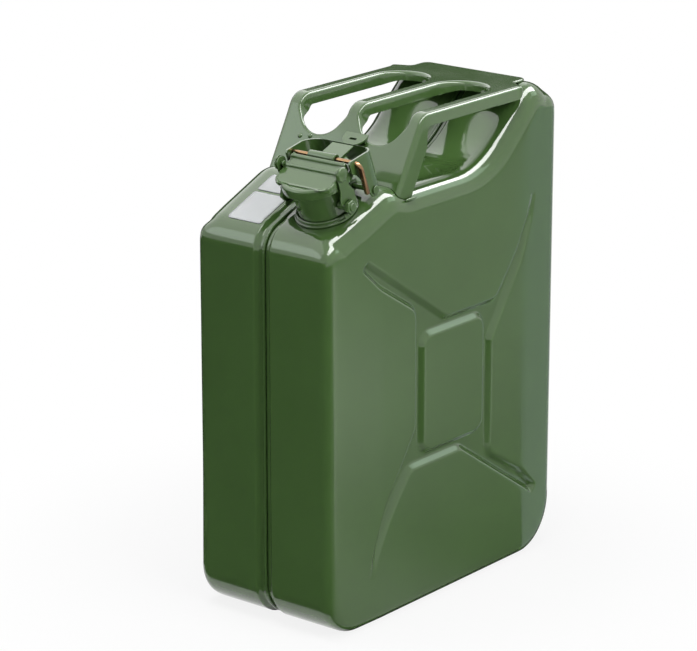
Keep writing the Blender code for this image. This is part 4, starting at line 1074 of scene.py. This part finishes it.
def slot_chains(x, middle_lip, fade_deg):
    """The round ends of both slots; the bars' lip turns into the middle one over some degrees."""
    chains = []
    for centre in (Vector((x, SLOT_MIDDLE)), Vector((x, -SLOT_MIDDLE))):
        chain = []
        for k in range(SLOT_STEPS + 1):
            turn = math.pi * k / SLOT_STEPS
            ray = Vector((math.sin(turn), math.cos(turn)))
            from_bar = min(k, SLOT_STEPS - k) / SLOT_STEPS * 180.0
            share = float(smooth(from_bar / fade_deg))
            chain.append((centre + ray * SLOT_R, -ray, mixed(bar_lip, middle_lip, share)))
        chains.append(chain)
    return chains


outer_chain = [(Vector((BAR_END_X, -HANDLE_HALF_WIDTH)), Vector((0.0, -1.0)), bar_lip)]
for place, normal in with_more_points(round_outline(rear_corners, 8.0), lambda place: 0.003):
    if place.x > BAR_END_X + 0.0005 and normal.x > -0.1:
        share = float(smooth((place.x - FLANGE_KEEP_X) / (FLANGE_GONE_X - FLANGE_KEEP_X)))
        outer_chain.append((place, normal, mixed(bar_lip, thin_lip, share)))
outer_chain.append((Vector((BAR_END_X, HANDLE_HALF_WIDTH)), Vector((0.0, 1.0)), bar_lip))
lipped_plate("handle_rear_pressing", "handle_rear_plate",
             [outer_chain, *slot_chains(BAR_END_X, slot_lip, 60.0)], [(), (), ()],
             lambda place, depth: Vector((place.x, place.y, HANDLE_TOP - depth)), UP)
print("rear plate pressed")

# %% [markdown]
# ## The bars
# Each bar is an upside-down channel that runs level and then bends down to the front plate. A curve
# could carry the section. Placed at stations of the bend, its ends match the two plates point by
# point. The section is the lip's profile and the same profile mirrored.

# %% Bars
BEND_STEPS = 12
bend_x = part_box("handle_bar_middle")[0].x + FRONT_BEND_R * math.cos(LEAN)
bend_centre = Vector((bend_x, 0.0, HANDLE_TOP - FRONT_BEND_R))
bar_stations = [(Vector((BAR_END_X, 0.0, HANDLE_TOP)), -UP)]
for k in range(BEND_STEPS + 1):
    turn = (math.pi / 2 - LEAN) * k / BEND_STEPS
    ray = Vector((-math.sin(turn), 0.0, math.cos(turn)))
    bar_stations.append((bend_centre + ray * FRONT_BEND_R, -ray))
plate_start = bar_stations[-1][0]
half = [(-BAR_HALF_WIDTH + inset, depth) for inset, depth in lip_profile(*bar_lip)]
section = half[::-1] + [(-y, depth) for y, depth in half]
for node in ("handle_bar_near", "handle_bar_middle", "handle_bar_far"):
    low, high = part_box(node)
    middle = ACROSS * ((low.y + high.y) / 2)
    bm = bmesh.new()
    rows = [[bm.verts.new(place + middle + ACROSS * y + down * depth) for y, depth in section]
            for place, down in bar_stations]
    bridge(bm, rows)
    handle_piece(node + "_pressing", bm, [row[i] for row in rows for i in (0, -1)],
                 Vector((-0.3, 0.0, 1.0)), node)
print("three bars pressed")

# %% [markdown]
# ## The front plate
# The front plate leans down from the bars to the can, with a notch under each slot and flanges that
# grow deeper towards the foot. A boolean could trim its foot, but would leave a ragged lip. So it
# is laid out flat first, and then its lower part is stretched until every point of the foot meets
# the can's rounded top.

# %% Front plate
PLATE_LENGTH = 0.0613
UNMOVED_LENGTH = 0.034
FLANGE_FULL_AT = 0.018
LEG_STEPS = 24
FOOT_SEARCH_FROM = 0.02
FOOT_SEARCH_STEP = 0.0001
FOOT_SEARCH_STEPS = 700
notch_lip = (0.0030, 0.0018, 0.0)
top_line = sorted((place.x, place.y) for place, normal in side_line if normal.y > 0.3)
top_x, top_z = np.array(top_line).T


def can_top(x, y):
    """Height of the pressed halves' upper surface."""
    beyond = min(max(abs(y) - FLAT_HALF, 0.0), EDGE_R)
    return float(np.interp(x, top_x, top_z)) - EDGE_R + math.sqrt(EDGE_R ** 2 - beyond ** 2)


def foot_length(y, depth):
    """How far down the lean a point of the plate meets the can."""
    for k in range(FOOT_SEARCH_STEPS):
        length = FOOT_SEARCH_FROM + FOOT_SEARCH_STEP * k
        spot = plate_start + lean_down * length + lean_in * depth
        if spot.z <= can_top(spot.x, y) + FOOT_SEARCH_STEP:
            break
    return length


def on_front(place, depth):
    along = place.x
    if along > UNMOVED_LENGTH:
        share = (along - UNMOVED_LENGTH) / (PLATE_LENGTH - UNMOVED_LENGTH)
        along = UNMOVED_LENGTH + share * (foot_length(place.y, depth) - UNMOVED_LENGTH)
    return plate_start + lean_down * along + lean_in * depth + ACROSS * place.y


near_leg, far_leg = [], []
for k in range(LEG_STEPS + 1):
    along = PLATE_LENGTH * k / LEG_STEPS
    deep = BAR_DEPTH + (FRONT_FLANGE - BAR_DEPTH) * float(smooth(along / FLANGE_FULL_AT))
    lip = (deep, BAR_CORNER_R, LIP_DRAFT * BAR_DEPTH / deep)
    near_leg.append((Vector((along, -HANDLE_HALF_WIDTH)), Vector((0.0, -1.0)), lip))
    far_leg.append((Vector((along, HANDLE_HALF_WIDTH)), Vector((0.0, 1.0)), lip))
foot_inset = lip_profile(*lip)[0][0]
foot_points = [Vector((PLATE_LENGTH, (HANDLE_HALF_WIDTH - foot_inset) * (k / LEG_STEPS - 1)))
               for k in range(1, 2 * LEG_STEPS)]
lipped_plate("handle_front_pressing", "handle_front_plate",
             [near_leg, far_leg[::-1], *slot_chains(0.0, notch_lip, 34.0)],
             [foot_points, (), (), ()], on_front, -lean_in)
print("front plate pressed")

# %% [markdown]
# ## Hook plates
# On each side of the lever a plate hangs from a rivet and hooks over a stud of the neck; its hook
# is open to the front, so that it lets go as the lever lifts. It could be cut out of a block. Here
# the outline is drawn in the neck's own frame, corner by corner, which makes round corners easy,
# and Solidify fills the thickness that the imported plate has.

# %% Hook plates
hook_corners = (
    (-0.0108, 0.0548, 0.0060), (0.0016, 0.0548, 0.0060), (0.0016, 0.0330, 0.0080),
    (0.0058, 0.0260, 0.0060), (0.0058, 0.0070, 0.0080), (-0.0140, 0.0070, 0.0022),
    (-0.0140, 0.0114, 0.0010), (-0.0024, 0.0114, 0.0044), (-0.0024, 0.0206, 0.0044),
    (-0.0140, 0.0206, 0.0010), (-0.0140, 0.0270, 0.0050), (-0.0108, 0.0330, 0.0080),
)
for node in ("cam_cheek_near", "cam_cheek_far"):
    sides = [(to_neck @ vert.co).y for vert in nodes[node].data.vertices]
    bm = bmesh.new()
    bm.faces.new([bm.verts.new((place.x, max(sides), place.y))
                  for place, _ in round_outline(hook_corners)])
    hook_mesh = mesh_of(node + "_hook", bm, ACROSS)
    hook_mesh.shade_flat()
    hook = thickened(dressed(node + "_hook", hook_mesh, node, NECK), max(sides) - min(sides))
    soft_edges(hook, 0.0005, harden=False)
print("two hook plates cut")

# %% [markdown]
# ## Turned pieces of the spout
# The neck, its collar, the cap and the rivets are round, so each is a section turned about an axis.
# A Screw modifier could turn it. A function of our own can also ripple a rim, and the same rounding
# that made the can's outline rounds these sections. A corner is a radius from the axis, a height
# and the corner's own round.

# %% Turn a section
TURN_STEP_DEG = 22.5
SECTION_GAP = 0.000001
TURNED_SHARP_FROM = math.radians(40.0)


def turned_piece(name, node, corners, matrix, steps=96, ripple=0.0, ripples=1):
    """Turns a closed section round about Z. A ripple swells it that many times on the way."""
    section = []
    for place, _ in round_outline(corners, TURN_STEP_DEG):
        if not section or (place - section[-1]).length > SECTION_GAP:
            section.append(place)
    bm = bmesh.new()
    rows = []
    for k in range(steps):
        turn = 2 * math.pi * k / steps
        grow = 1.0 + ripple * math.cos(turn * ripples)
        rows.append([bm.verts.new((p.x * grow * math.cos(turn), p.x * grow * math.sin(turn), p.y))
                     for p in section])
    bridge(bm, rows, round_row=True, round_trip=True)
    bmesh.ops.remove_doubles(bm, verts=bm.verts, dist=SECTION_GAP)
    bmesh.ops.dissolve_degenerate(bm, dist=SECTION_GAP / 2, edges=bm.edges)
    mesh = mesh_of(name, bm)
    mesh.set_sharp_from_angle(angle=TURNED_SHARP_FROM)
    dressed(name, mesh, node, matrix)
    return len(section)


print("neck section has", turned_piece("neck_tube_soft", "neck_tube", (
    (0.0237, -0.006, 0.0), (0.0252, -0.006, 0.0), (0.0252, 0.033, 0.0006), (0.0275, 0.033, 0.0012),
    (0.0275, 0.0365, 0.0016), (0.0237, 0.0365, 0.0013)), NECK), "points")

# %% Collar and cap
turned_piece("neck_collar_soft", "neck_collar", (
    (0.0255, 0.0003, 0.0), (0.0293, 0.0003, 0.0002), (0.0293, 0.0024, 0.0011),
    (0.0276, 0.0024, 0.0003), (0.0276, 0.0052, 0.0011), (0.0255, 0.0052, 0.0002)), NECK)
turned_piece("cap_disc_soft", "cap_disc", (
    (0.0315, 0.0330, 0.0006), (0.0330, 0.0330, 0.0007), (0.0330, 0.0424, 0.0026),
    (0.0288, 0.0424, 0.0008), (0.0280, 0.0420, 0.0008), (0.0023, 0.0420, 0.0),
    (0.0023, 0.0409, 0.0), (0.0315, 0.0409, 0.0012)), NECK)
print("collar and cap turned")

# %% [markdown]
# ## Barrel, studs, nuts, rivets and hinge pin
# These lie across the neck, so each is turned about its own axis first and then laid on its side
# by a matrix. A nut is the same turning with six steps only, and a hammered rivet head has a light
# ripple round its rim.

# %% Pieces that lie across the neck
PIVOT = (0.0145, 0.0485)
RIVET = (-0.0046, 0.0486)
STUD = (-0.007, 0.016)
HINGE = (0.029, 0.0105)


def laid_across(place, way=1):
    """Matrix that lays a turned piece across the neck, its Z axis to one side."""
    x, z = place
    return NECK @ Matrix.Translation((x, 0.0, z)) @ Matrix.Rotation(-way * math.pi / 2, 4, "X")


turned_piece("lever_barrel_soft", "lever_barrel", (
    (0.0028, -0.015, 0.0), (0.0047, -0.015, 0.0007), (0.0047, 0.015, 0.0007),
    (0.0028, 0.015, 0.0)), laid_across(PIVOT), 48)
for label, way in (("near", -1), ("far", 1)):
    turned_piece(f"neck_stud_{label}_soft", f"neck_stud_{label}", (
        (0.0, 0.0253, 0.0), (0.004, 0.0253, 0.0), (0.004, 0.0412, 0.0009),
        (0.0, 0.0412, 0.0)), laid_across(STUD, way), 32)
    turned_piece(f"stud_nut_{label}", f"neck_stud_{label}", (
        (0.0040, 0.0354, 0.0), (0.0068, 0.0354, 0.0004), (0.0068, 0.0396, 0.0013),
        (0.0040, 0.0398, 0.0)), laid_across(STUD, way), 6)
    turned_piece(f"cheek_rivet_{label}_soft", f"cheek_rivet_{label}", (
        (0.0, 0.0299, 0.0), (0.0025, 0.0299, 0.0004), (0.0025, 0.0311, 0.0),
        (0.0022, 0.0311, 0.0), (0.0022, 0.0352, 0.0), (0.0070, 0.0352, 0.0004),
        (0.0064, 0.0374, 0.0016), (0.0, 0.0382, 0.0)), laid_across(RIVET, way), 72, 0.022, 9)
turned_piece("hinge_pin_soft", "hinge_pin", (
    (0.0, -0.0388, 0.0), (0.004, -0.0388, 0.0006), (0.004, -0.0373, 0.0003),
    (0.0025, -0.0373, 0.0), (0.0025, 0.0373, 0.0), (0.004, 0.0373, 0.0003),
    (0.004, 0.0388, 0.0006), (0.0, 0.0388, 0.0)), laid_across(HINGE), 32)
print("eight small round pieces turned")

# %% [markdown]
# ## The thumb lever
# The lever is pressed from sheet: a front lip to lift, two raised ribs for the thumb's grip, and
# side flanges. It could be shaped from a box with loop cuts. A grid of points is easier to keep
# even: it follows the pressing lengthwise through the ribs and crosswise over the rounded sides,
# and Solidify makes it sheet.

# %% Lever
LEVER_TIP_X = -0.025
LEVER_LENGTH = 0.0345
LEVER_TOP_Z = 0.0532
LEVER_HALF_WIDTH = 0.033
LEVER_SIDE = 0.0084
LEVER_EDGE_R = 0.002
LEVER_SHEET = 0.0013
LEVER_TIP_DROP = 0.0086
LEVER_REAR_DROP = 0.0014
LIP_CURL = 0.0009
LIP_SHARE = 0.10
RIB_HEIGHT = 0.0027
RIB_FLAT_TOP = 1.45
STATIONS = 64
TOP_STEPS = 8
TOP_SHARE = 0.94
SIDE_STEPS = 6
LOW_SIDE_SHARE = 0.45
LEAST_SIDE = 0.0004
LEVER_SHARP_FROM = math.radians(60.0)
# Middle and half width of each rib, and where the sides widen, as shares of the length
rib_shares = ((0.60, 0.060), (0.93, 0.085))
width_shares = ((0.0, 0.70), (0.02, 0.79), (0.06, 0.87), (0.12, 0.94), (0.20, 0.98), (0.32, 1.0),
                (0.60, 0.98), (1.0, 0.94))
side_shares = ((0.0, 0.18), (0.08, 0.45), (0.24, 0.9), (0.5, 1.0), (0.9, 0.92), (1.0, 0.7))


def along_shares(table, share):
    return float(np.interp(share, *zip(*table)))


def lever_row(share):
    """Places across the lever at a share of its length, from the far side to the near one."""
    rise = max(float(smooth(RIB_FLAT_TOP * (1.0 - abs(share - middle) / half)))
               for middle, half in rib_shares)
    curl = max(0.0, LIP_SHARE - share) / LIP_SHARE
    slope = LEVER_REAR_DROP + (LEVER_TIP_DROP - LEVER_REAR_DROP) * (1.0 - share)
    top = LEVER_TOP_Z - slope - RIB_HEIGHT * (1.0 - rise) + LIP_CURL * curl ** 2
    half_width = LEVER_HALF_WIDTH * along_shares(width_shares, share)
    side = LEVER_SIDE * along_shares(side_shares, share)
    middle = [(half_width * (2 * k / TOP_STEPS - 1) * TOP_SHARE, top) for k in range(TOP_STEPS + 1)]
    sides = []
    for k in range(SIDE_STEPS + 1):
        turn = math.pi / 2 * k / SIDE_STEPS
        sides.append((half_width - LEVER_EDGE_R * (1 - math.sin(turn)),
                      top - LEVER_EDGE_R * (1 - math.cos(turn))))
    low = LEVER_TOP_Z - RIB_HEIGHT - LEVER_EDGE_R - slope - side * LOW_SIDE_SHARE
    sides.append((half_width, min(low, top - LEVER_EDGE_R - LEAST_SIDE)))
    return [(-y, z) for y, z in sides[::-1]] + middle + sides


bm = bmesh.new()
bridge(bm, [[bm.verts.new((LEVER_TIP_X + k / STATIONS * LEVER_LENGTH, y, z))
             for y, z in lever_row(k / STATIONS)] for k in range(STATIONS + 1)])
lever = dressed("thumb_lever_soft", mesh_of("thumb_lever_soft", bm, UP), "thumb_lever", NECK)
soft_edges(thickened(lever, LEVER_SHEET), 0.0004, LEVER_SHARP_FROM, harden=False)
print("lever pressed with", len(rib_shares), "ribs")

# %% [markdown]
# ## The locking pin
# The pin is one bent wire: it passes through the yoke's arms and the barrel, then turns down beside
# the near arm. A curve with a round bevel would do, but the leg is a little thicker than the rest,
# so rings of points follow the wire, and each has its own radius.

# %% Locking pin
PIN_R = 0.0020
PIN_TAIL_R = 0.0026
PIN_END = 0.0410
PIN_STRAIGHT_TO = -0.035
PIN_TAIL = 0.032
PIN_BEND_R = 0.0064
PIN_BEND_STEPS = 8
PIN_SIDES = 20
CHAMFER_LENGTH = 0.4
CHAMFER_R = 0.62
WIRE_SHARP_FROM = math.radians(50.0)


def ring_row(bm, centre, first_way, second_way, radius, sides):
    """Points round a centre, in the plane of two ways."""
    turns = [2 * math.pi * k / sides for k in range(sides)]
    return [bm.verts.new(centre + (first_way * math.cos(turn) + second_way * math.sin(turn))
                         * radius) for turn in turns]


def tube_mesh(name, bm, rows):
    """A closed tube through rings of points."""
    bridge(bm, rows, round_row=True)
    bm.faces.new(rows[0][::-1])
    bm.faces.new(rows[-1])
    return mesh_of(name, bm)


def wire_stops(path, radii):
    """Places and radii along a wire, with a small chamfer at each end."""
    places = [Vector(p) for p in path]
    first, last = places[0], places[-1]
    places[0] = first + (places[1] - first).normalized() * radii[0] * CHAMFER_LENGTH
    places[-1] = last + (places[-2] - last).normalized() * radii[-1] * CHAMFER_LENGTH
    return [(first, radii[0] * CHAMFER_R), *zip(places, radii), (last, radii[-1] * CHAMFER_R)]


pin_path = [(0.0, y, 0.0) for y in (PIN_END, 0.02, 0.0, PIN_STRAIGHT_TO)]
pin_radii = [PIN_R] * len(pin_path)
for k in range(PIN_BEND_STEPS + 1):
    turn = math.pi / 2 * k / PIN_BEND_STEPS
    pin_path.append((0.0, -PIN_END + PIN_BEND_R * (1 - math.sin(turn)),
                     -PIN_BEND_R * (1 - math.cos(turn))))
    pin_radii.append(PIN_R + (PIN_TAIL_R - PIN_R) * (k + 1) / (PIN_BEND_STEPS + 1))
stops = wire_stops([*pin_path, (0.0, -PIN_END, -PIN_TAIL)], [*pin_radii, PIN_TAIL_R])
side = Vector((1.0, 0.0, 0.0))
bm = bmesh.new()
rows = []
befores, afters = stops[:1] + stops, stops[1:] + stops[-1:]
for (before, _), (place, radius), (after, _) in zip(befores, stops, afters):
    up = (after - before).normalized().cross(side).normalized()
    rows.append(ring_row(bm, place, side, up, radius, PIN_SIDES))
pin_mesh = tube_mesh("locking_pin_soft", bm, rows)
pin_mesh.set_sharp_from_angle(angle=WIRE_SHARP_FROM)
dressed("locking_pin_soft", pin_mesh, "locking_pin",
        NECK @ Matrix.Translation((PIVOT[0], 0.0, PIVOT[1])))
print("pin bent through", len(stops), "stops")

# %% [markdown]
# ## Weld beads
# The seam is closed by a bead of weld at the bottom of its channel, and the handle's outer legs
# stand on short beads. A weld is laid in small steps, so its surface is a row of overlapping
# scales. A texture could displace a plain tube. Here a section follows the seam and its height
# ripples, so the scales keep one size all along, round the corners too.

# %% Seam bead
BEAD_HALF_WIDTH = 0.0013
BEAD_TOP_INSET = 0.0018
BEAD_LOW_INSET = 0.0052
BEAD_SPACING = 0.0009
SCALE_LENGTH = 0.0034
SCALE_RISE = 0.00022
SCALE_SWELL = 0.10


def scale_wave(distance, pitch):
    """One weld scale after another: a slow rise and a quick fall."""
    share = (distance / pitch) % 1.0
    return math.sin(math.pi * share ** 1.6)


def bead_section(travelled):
    """Distance from the seam's plane and inset from the outline, from side to side."""
    top = BEAD_TOP_INSET - SCALE_RISE * scale_wave(travelled, SCALE_LENGTH)
    wide = BEAD_HALF_WIDTH * (
        1.0 + SCALE_SWELL * scale_wave(travelled + SCALE_LENGTH / 3, SCALE_LENGTH))
    left = [(-wide, BEAD_LOW_INSET), (-wide, top + wide * 0.8), (-wide * 0.7, top + wide * 0.25)]
    return left + [(0.0, top)] + [(-y, inset) for y, inset in left[::-1]]


seam_line = with_more_points(round_outline(SIDE_CORNERS), lambda place: BEAD_SPACING)
bm = bmesh.new()
rows = []
travelled = 0.0
for i, (place, normal) in enumerate(seam_line):
    travelled += (place - seam_line[i - 1][0]).length if i else 0.0
    spots = [(place - normal * inset, y) for y, inset in bead_section(travelled)]
    rows.append([bm.verts.new((spot.x, y, spot.y)) for spot, y in spots])
bridge(bm, rows, round_row=True, round_trip=True)
dressed("seam_bead", mesh_of("seam_bead", bm), "seam_weld")
print("seam bead is", round(travelled, 2), "m long")

# %% Beads at the feet of the legs
LEG_BEAD_STEPS = 40
LEG_BEAD_SIDES = 14
LEG_BEAD_SCALES = 7
LEG_BEAD_SWELL = 0.16
for node in ("leg_weld_near", "leg_weld_far"):
    low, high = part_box(node)
    middle = (low + high) / 2
    bm = bmesh.new()
    rows = []
    for k in range(LEG_BEAD_STEPS + 1):
        share = k / LEG_BEAD_STEPS
        taper = math.sin(math.pi * min(max(share, 0.02), 0.98)) ** 0.35
        swell = 1.0 - LEG_BEAD_SWELL * (1.0 - scale_wave(share, 1 / LEG_BEAD_SCALES))
        centre = Vector((low.x + (high.x - low.x) * share, middle.y, middle.z))
        rows.append(ring_row(bm, centre, ACROSS, UP, (high.z - low.z) / 2 * taper * swell,
                             LEG_BEAD_SIDES))
    dressed(node + "_bead", tube_mesh(node + "_bead", bm, rows), node)
print("two leg beads laid")

# %% [markdown]
# ## The label
# A white film lies on the plain half's shoulder and bends with it, in two fields with a thin gap
# between them. It could be a colour in the paint's own material, but film has an edge that catches
# the light. So a strip of points follows the outline a hair above the paint, and Solidify makes it
# film.

# %% Label film
LABEL_LIFT = 0.0003
LABEL_THICK = 0.0002
LABEL_CORNER_R = 0.0015
LABEL_SPACING = 0.0018
LABEL_COLUMNS = 12
FIELD_SHARE = 0.62
FIELD_GAP = 0.0006
label_low, label_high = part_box("shoulder_label")
label_line = with_more_points(round_outline(SIDE_CORNERS, 3.0), lambda place: LABEL_SPACING)


def film_mesh(name, from_x, to_x):
    run = [(place, normal) for place, normal in label_line
           if place.y > SHOULDER_WALL_Z - 0.03 and from_x <= place.x <= to_x and normal.y > 0.05]
    bm = bmesh.new()
    rows = []
    for place, normal in run:
        spot = place + normal * (LABEL_LIFT + LABEL_THICK)
        from_end = min((place - end).length for end in (run[0][0], run[-1][0]))
        in_corner = max(LABEL_CORNER_R - from_end, 0.0)
        pull = LABEL_CORNER_R - math.sqrt(max(LABEL_CORNER_R ** 2 - in_corner ** 2, 0.0))
        near, far = label_low.y + pull, label_high.y - pull
        rows.append([bm.verts.new((spot.x, near + (far - near) * k / LABEL_COLUMNS, spot.y))
                     for k in range(LABEL_COLUMNS + 1)])
    bridge(bm, rows)
    return mesh_of(name, bm, UP)


field_x = label_low.x + (label_high.x - label_low.x) * FIELD_SHARE
for name, from_x, to_x in (("label_lower_field", label_low.x, field_x - FIELD_GAP / 2),
                           ("label_upper_field", field_x + FIELD_GAP / 2, label_high.x)):
    thickened(dressed(name, film_mesh(name, from_x, to_x), "shoulder_label"), LABEL_THICK)
print("label laid in two fields")

# %% [markdown]
# ## The catch
# The catch that holds the lid open is a small rounded lug on the front plate, with a slot in it. A
# boolean could cut the slot. Here its outline and the lug's are filled by one triangulation, which
# leaves clean edges for the bevel: the triangles inside the slot stay out, and a short leg goes
# down from the root along the plate.

# %% Catch
CATCH_SHEET = 0.0018
SLOT_HALF_LENGTH = 0.0040
SLOT_HALF_WIDTH = 0.0013
SLOT_CORNER_R = 0.0012
SLOT_PLACE = 0.5
LUG_SLOPE = math.radians(30.0)
LUG_LEG = 0.009
LUG_WIDER = 0.008
LUG_ROUND = 0.92


def catch_outlines(low, high):
    """Outlines of the lug and of its slot: distance from the root, and place across the can."""
    half = (high.y - low.y + LUG_WIDER) / 2
    middle = high.y - half
    reach = (high.x - low.x) / math.cos(LUG_SLOPE)
    lug = [(-reach, middle - half, half * LUG_ROUND), (0.0, middle - half, 0.0),
           (0.0, middle + half, 0.0), (-reach, middle + half, half * LUG_ROUND)]
    slot = [(-reach * SLOT_PLACE + sx * SLOT_HALF_WIDTH, middle + sy * SLOT_HALF_LENGTH,
             SLOT_CORNER_R) for sx, sy in SQUARE]
    return round_outline(lug, 10.0), round_outline(slot, 15.0)


def catch_mesh(name):
    low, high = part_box("hold_open_catch")
    lug, slot = catch_outlines(low, high)
    count = len(lug)
    edges = [(i, (i + 1) % count) for i in range(count)]
    edges += [(count + i, count + (i + 1) % len(slot)) for i in range(len(slot))]
    found, _, tris, _, _, _ = delaunay_2d_cdt([p for p, _ in lug + slot], edges, [], 0, 1e-7)
    spots = np.array([tuple(v) for v in found])
    middles = np.array([spots[list(tri)].mean(0) for tri in tris])
    kept = (outline_distance(middles, lug) < 0) & (outline_distance(middles, slot) >= 0)
    bm = bmesh.new()
    verts = [bm.verts.new((high.x + a * math.cos(LUG_SLOPE), y, high.z + a * math.sin(LUG_SLOPE)))
             for a, y in spots]
    for tri, keep in zip(tris, kept):
        if keep:
            bm.faces.new([verts[i] for i in tri])
    bmesh.ops.delete(bm, geom=[v for v in bm.verts if not v.link_faces], context="VERTS")
    root = sorted((v for v in bm.verts if v.co.x > high.x - 0.00001), key=lambda v: v.co.y)
    bridge(bm, [root, [bm.verts.new(v.co + lean_down * LUG_LEG) for v in root]])
    return mesh_of(name, bm, UP)


catch = dressed("catch_lug", catch_mesh("catch_lug"), "hold_open_catch")
soft_edges(thickened(catch, CATCH_SHEET), 0.0005)
print("catch shaped")

# %% [markdown]
# ## Spot welds
# Two spot welds show beside the catch as shallow domes: where two sheets are welded at a point,
# the metal swells a little. Flattened spheres would do, but a top point with rings round it gives
# a dome whose rim sinks into the plate. Both are one piece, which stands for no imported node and
# just rides on the can.

# %% Spot welds on the front plate
DOME_R = 0.0026
DOME_LIFT = 0.0002
DOME_RISE = 0.0014
DOME_SINK = 0.0004
DOME_SIDES = 20
dome_shares = (0.35, 0.65, 0.85, 1.0)
spot_places = ((0.0300, 0.0520), (0.0285, 0.0405))
bm = bmesh.new()
for along, y in spot_places:
    middle = plate_start + lean_down * along + ACROSS * y - lean_in * DOME_LIFT
    top = bm.verts.new(middle - lean_in * DOME_RISE)
    rows = []
    for share in dome_shares:
        lift = DOME_RISE * (1 - share ** 2) - (DOME_SINK if share == 1.0 else 0.0)
        rows.append(ring_row(bm, middle - lean_in * lift, lean_down, ACROSS, DOME_R * share,
                             DOME_SIDES))
    for k in range(DOME_SIDES):
        bm.faces.new((top, rows[0][k], rows[0][(k + 1) % DOME_SIDES]))
    bridge(bm, rows[::-1], round_row=True)
    bm.faces.new(rows[-1])
domes = placed("spot_welds", mesh_of("spot_welds", bm))
domes.data.materials.append(bead_paint)
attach(domes, "can")
print("two spot welds")
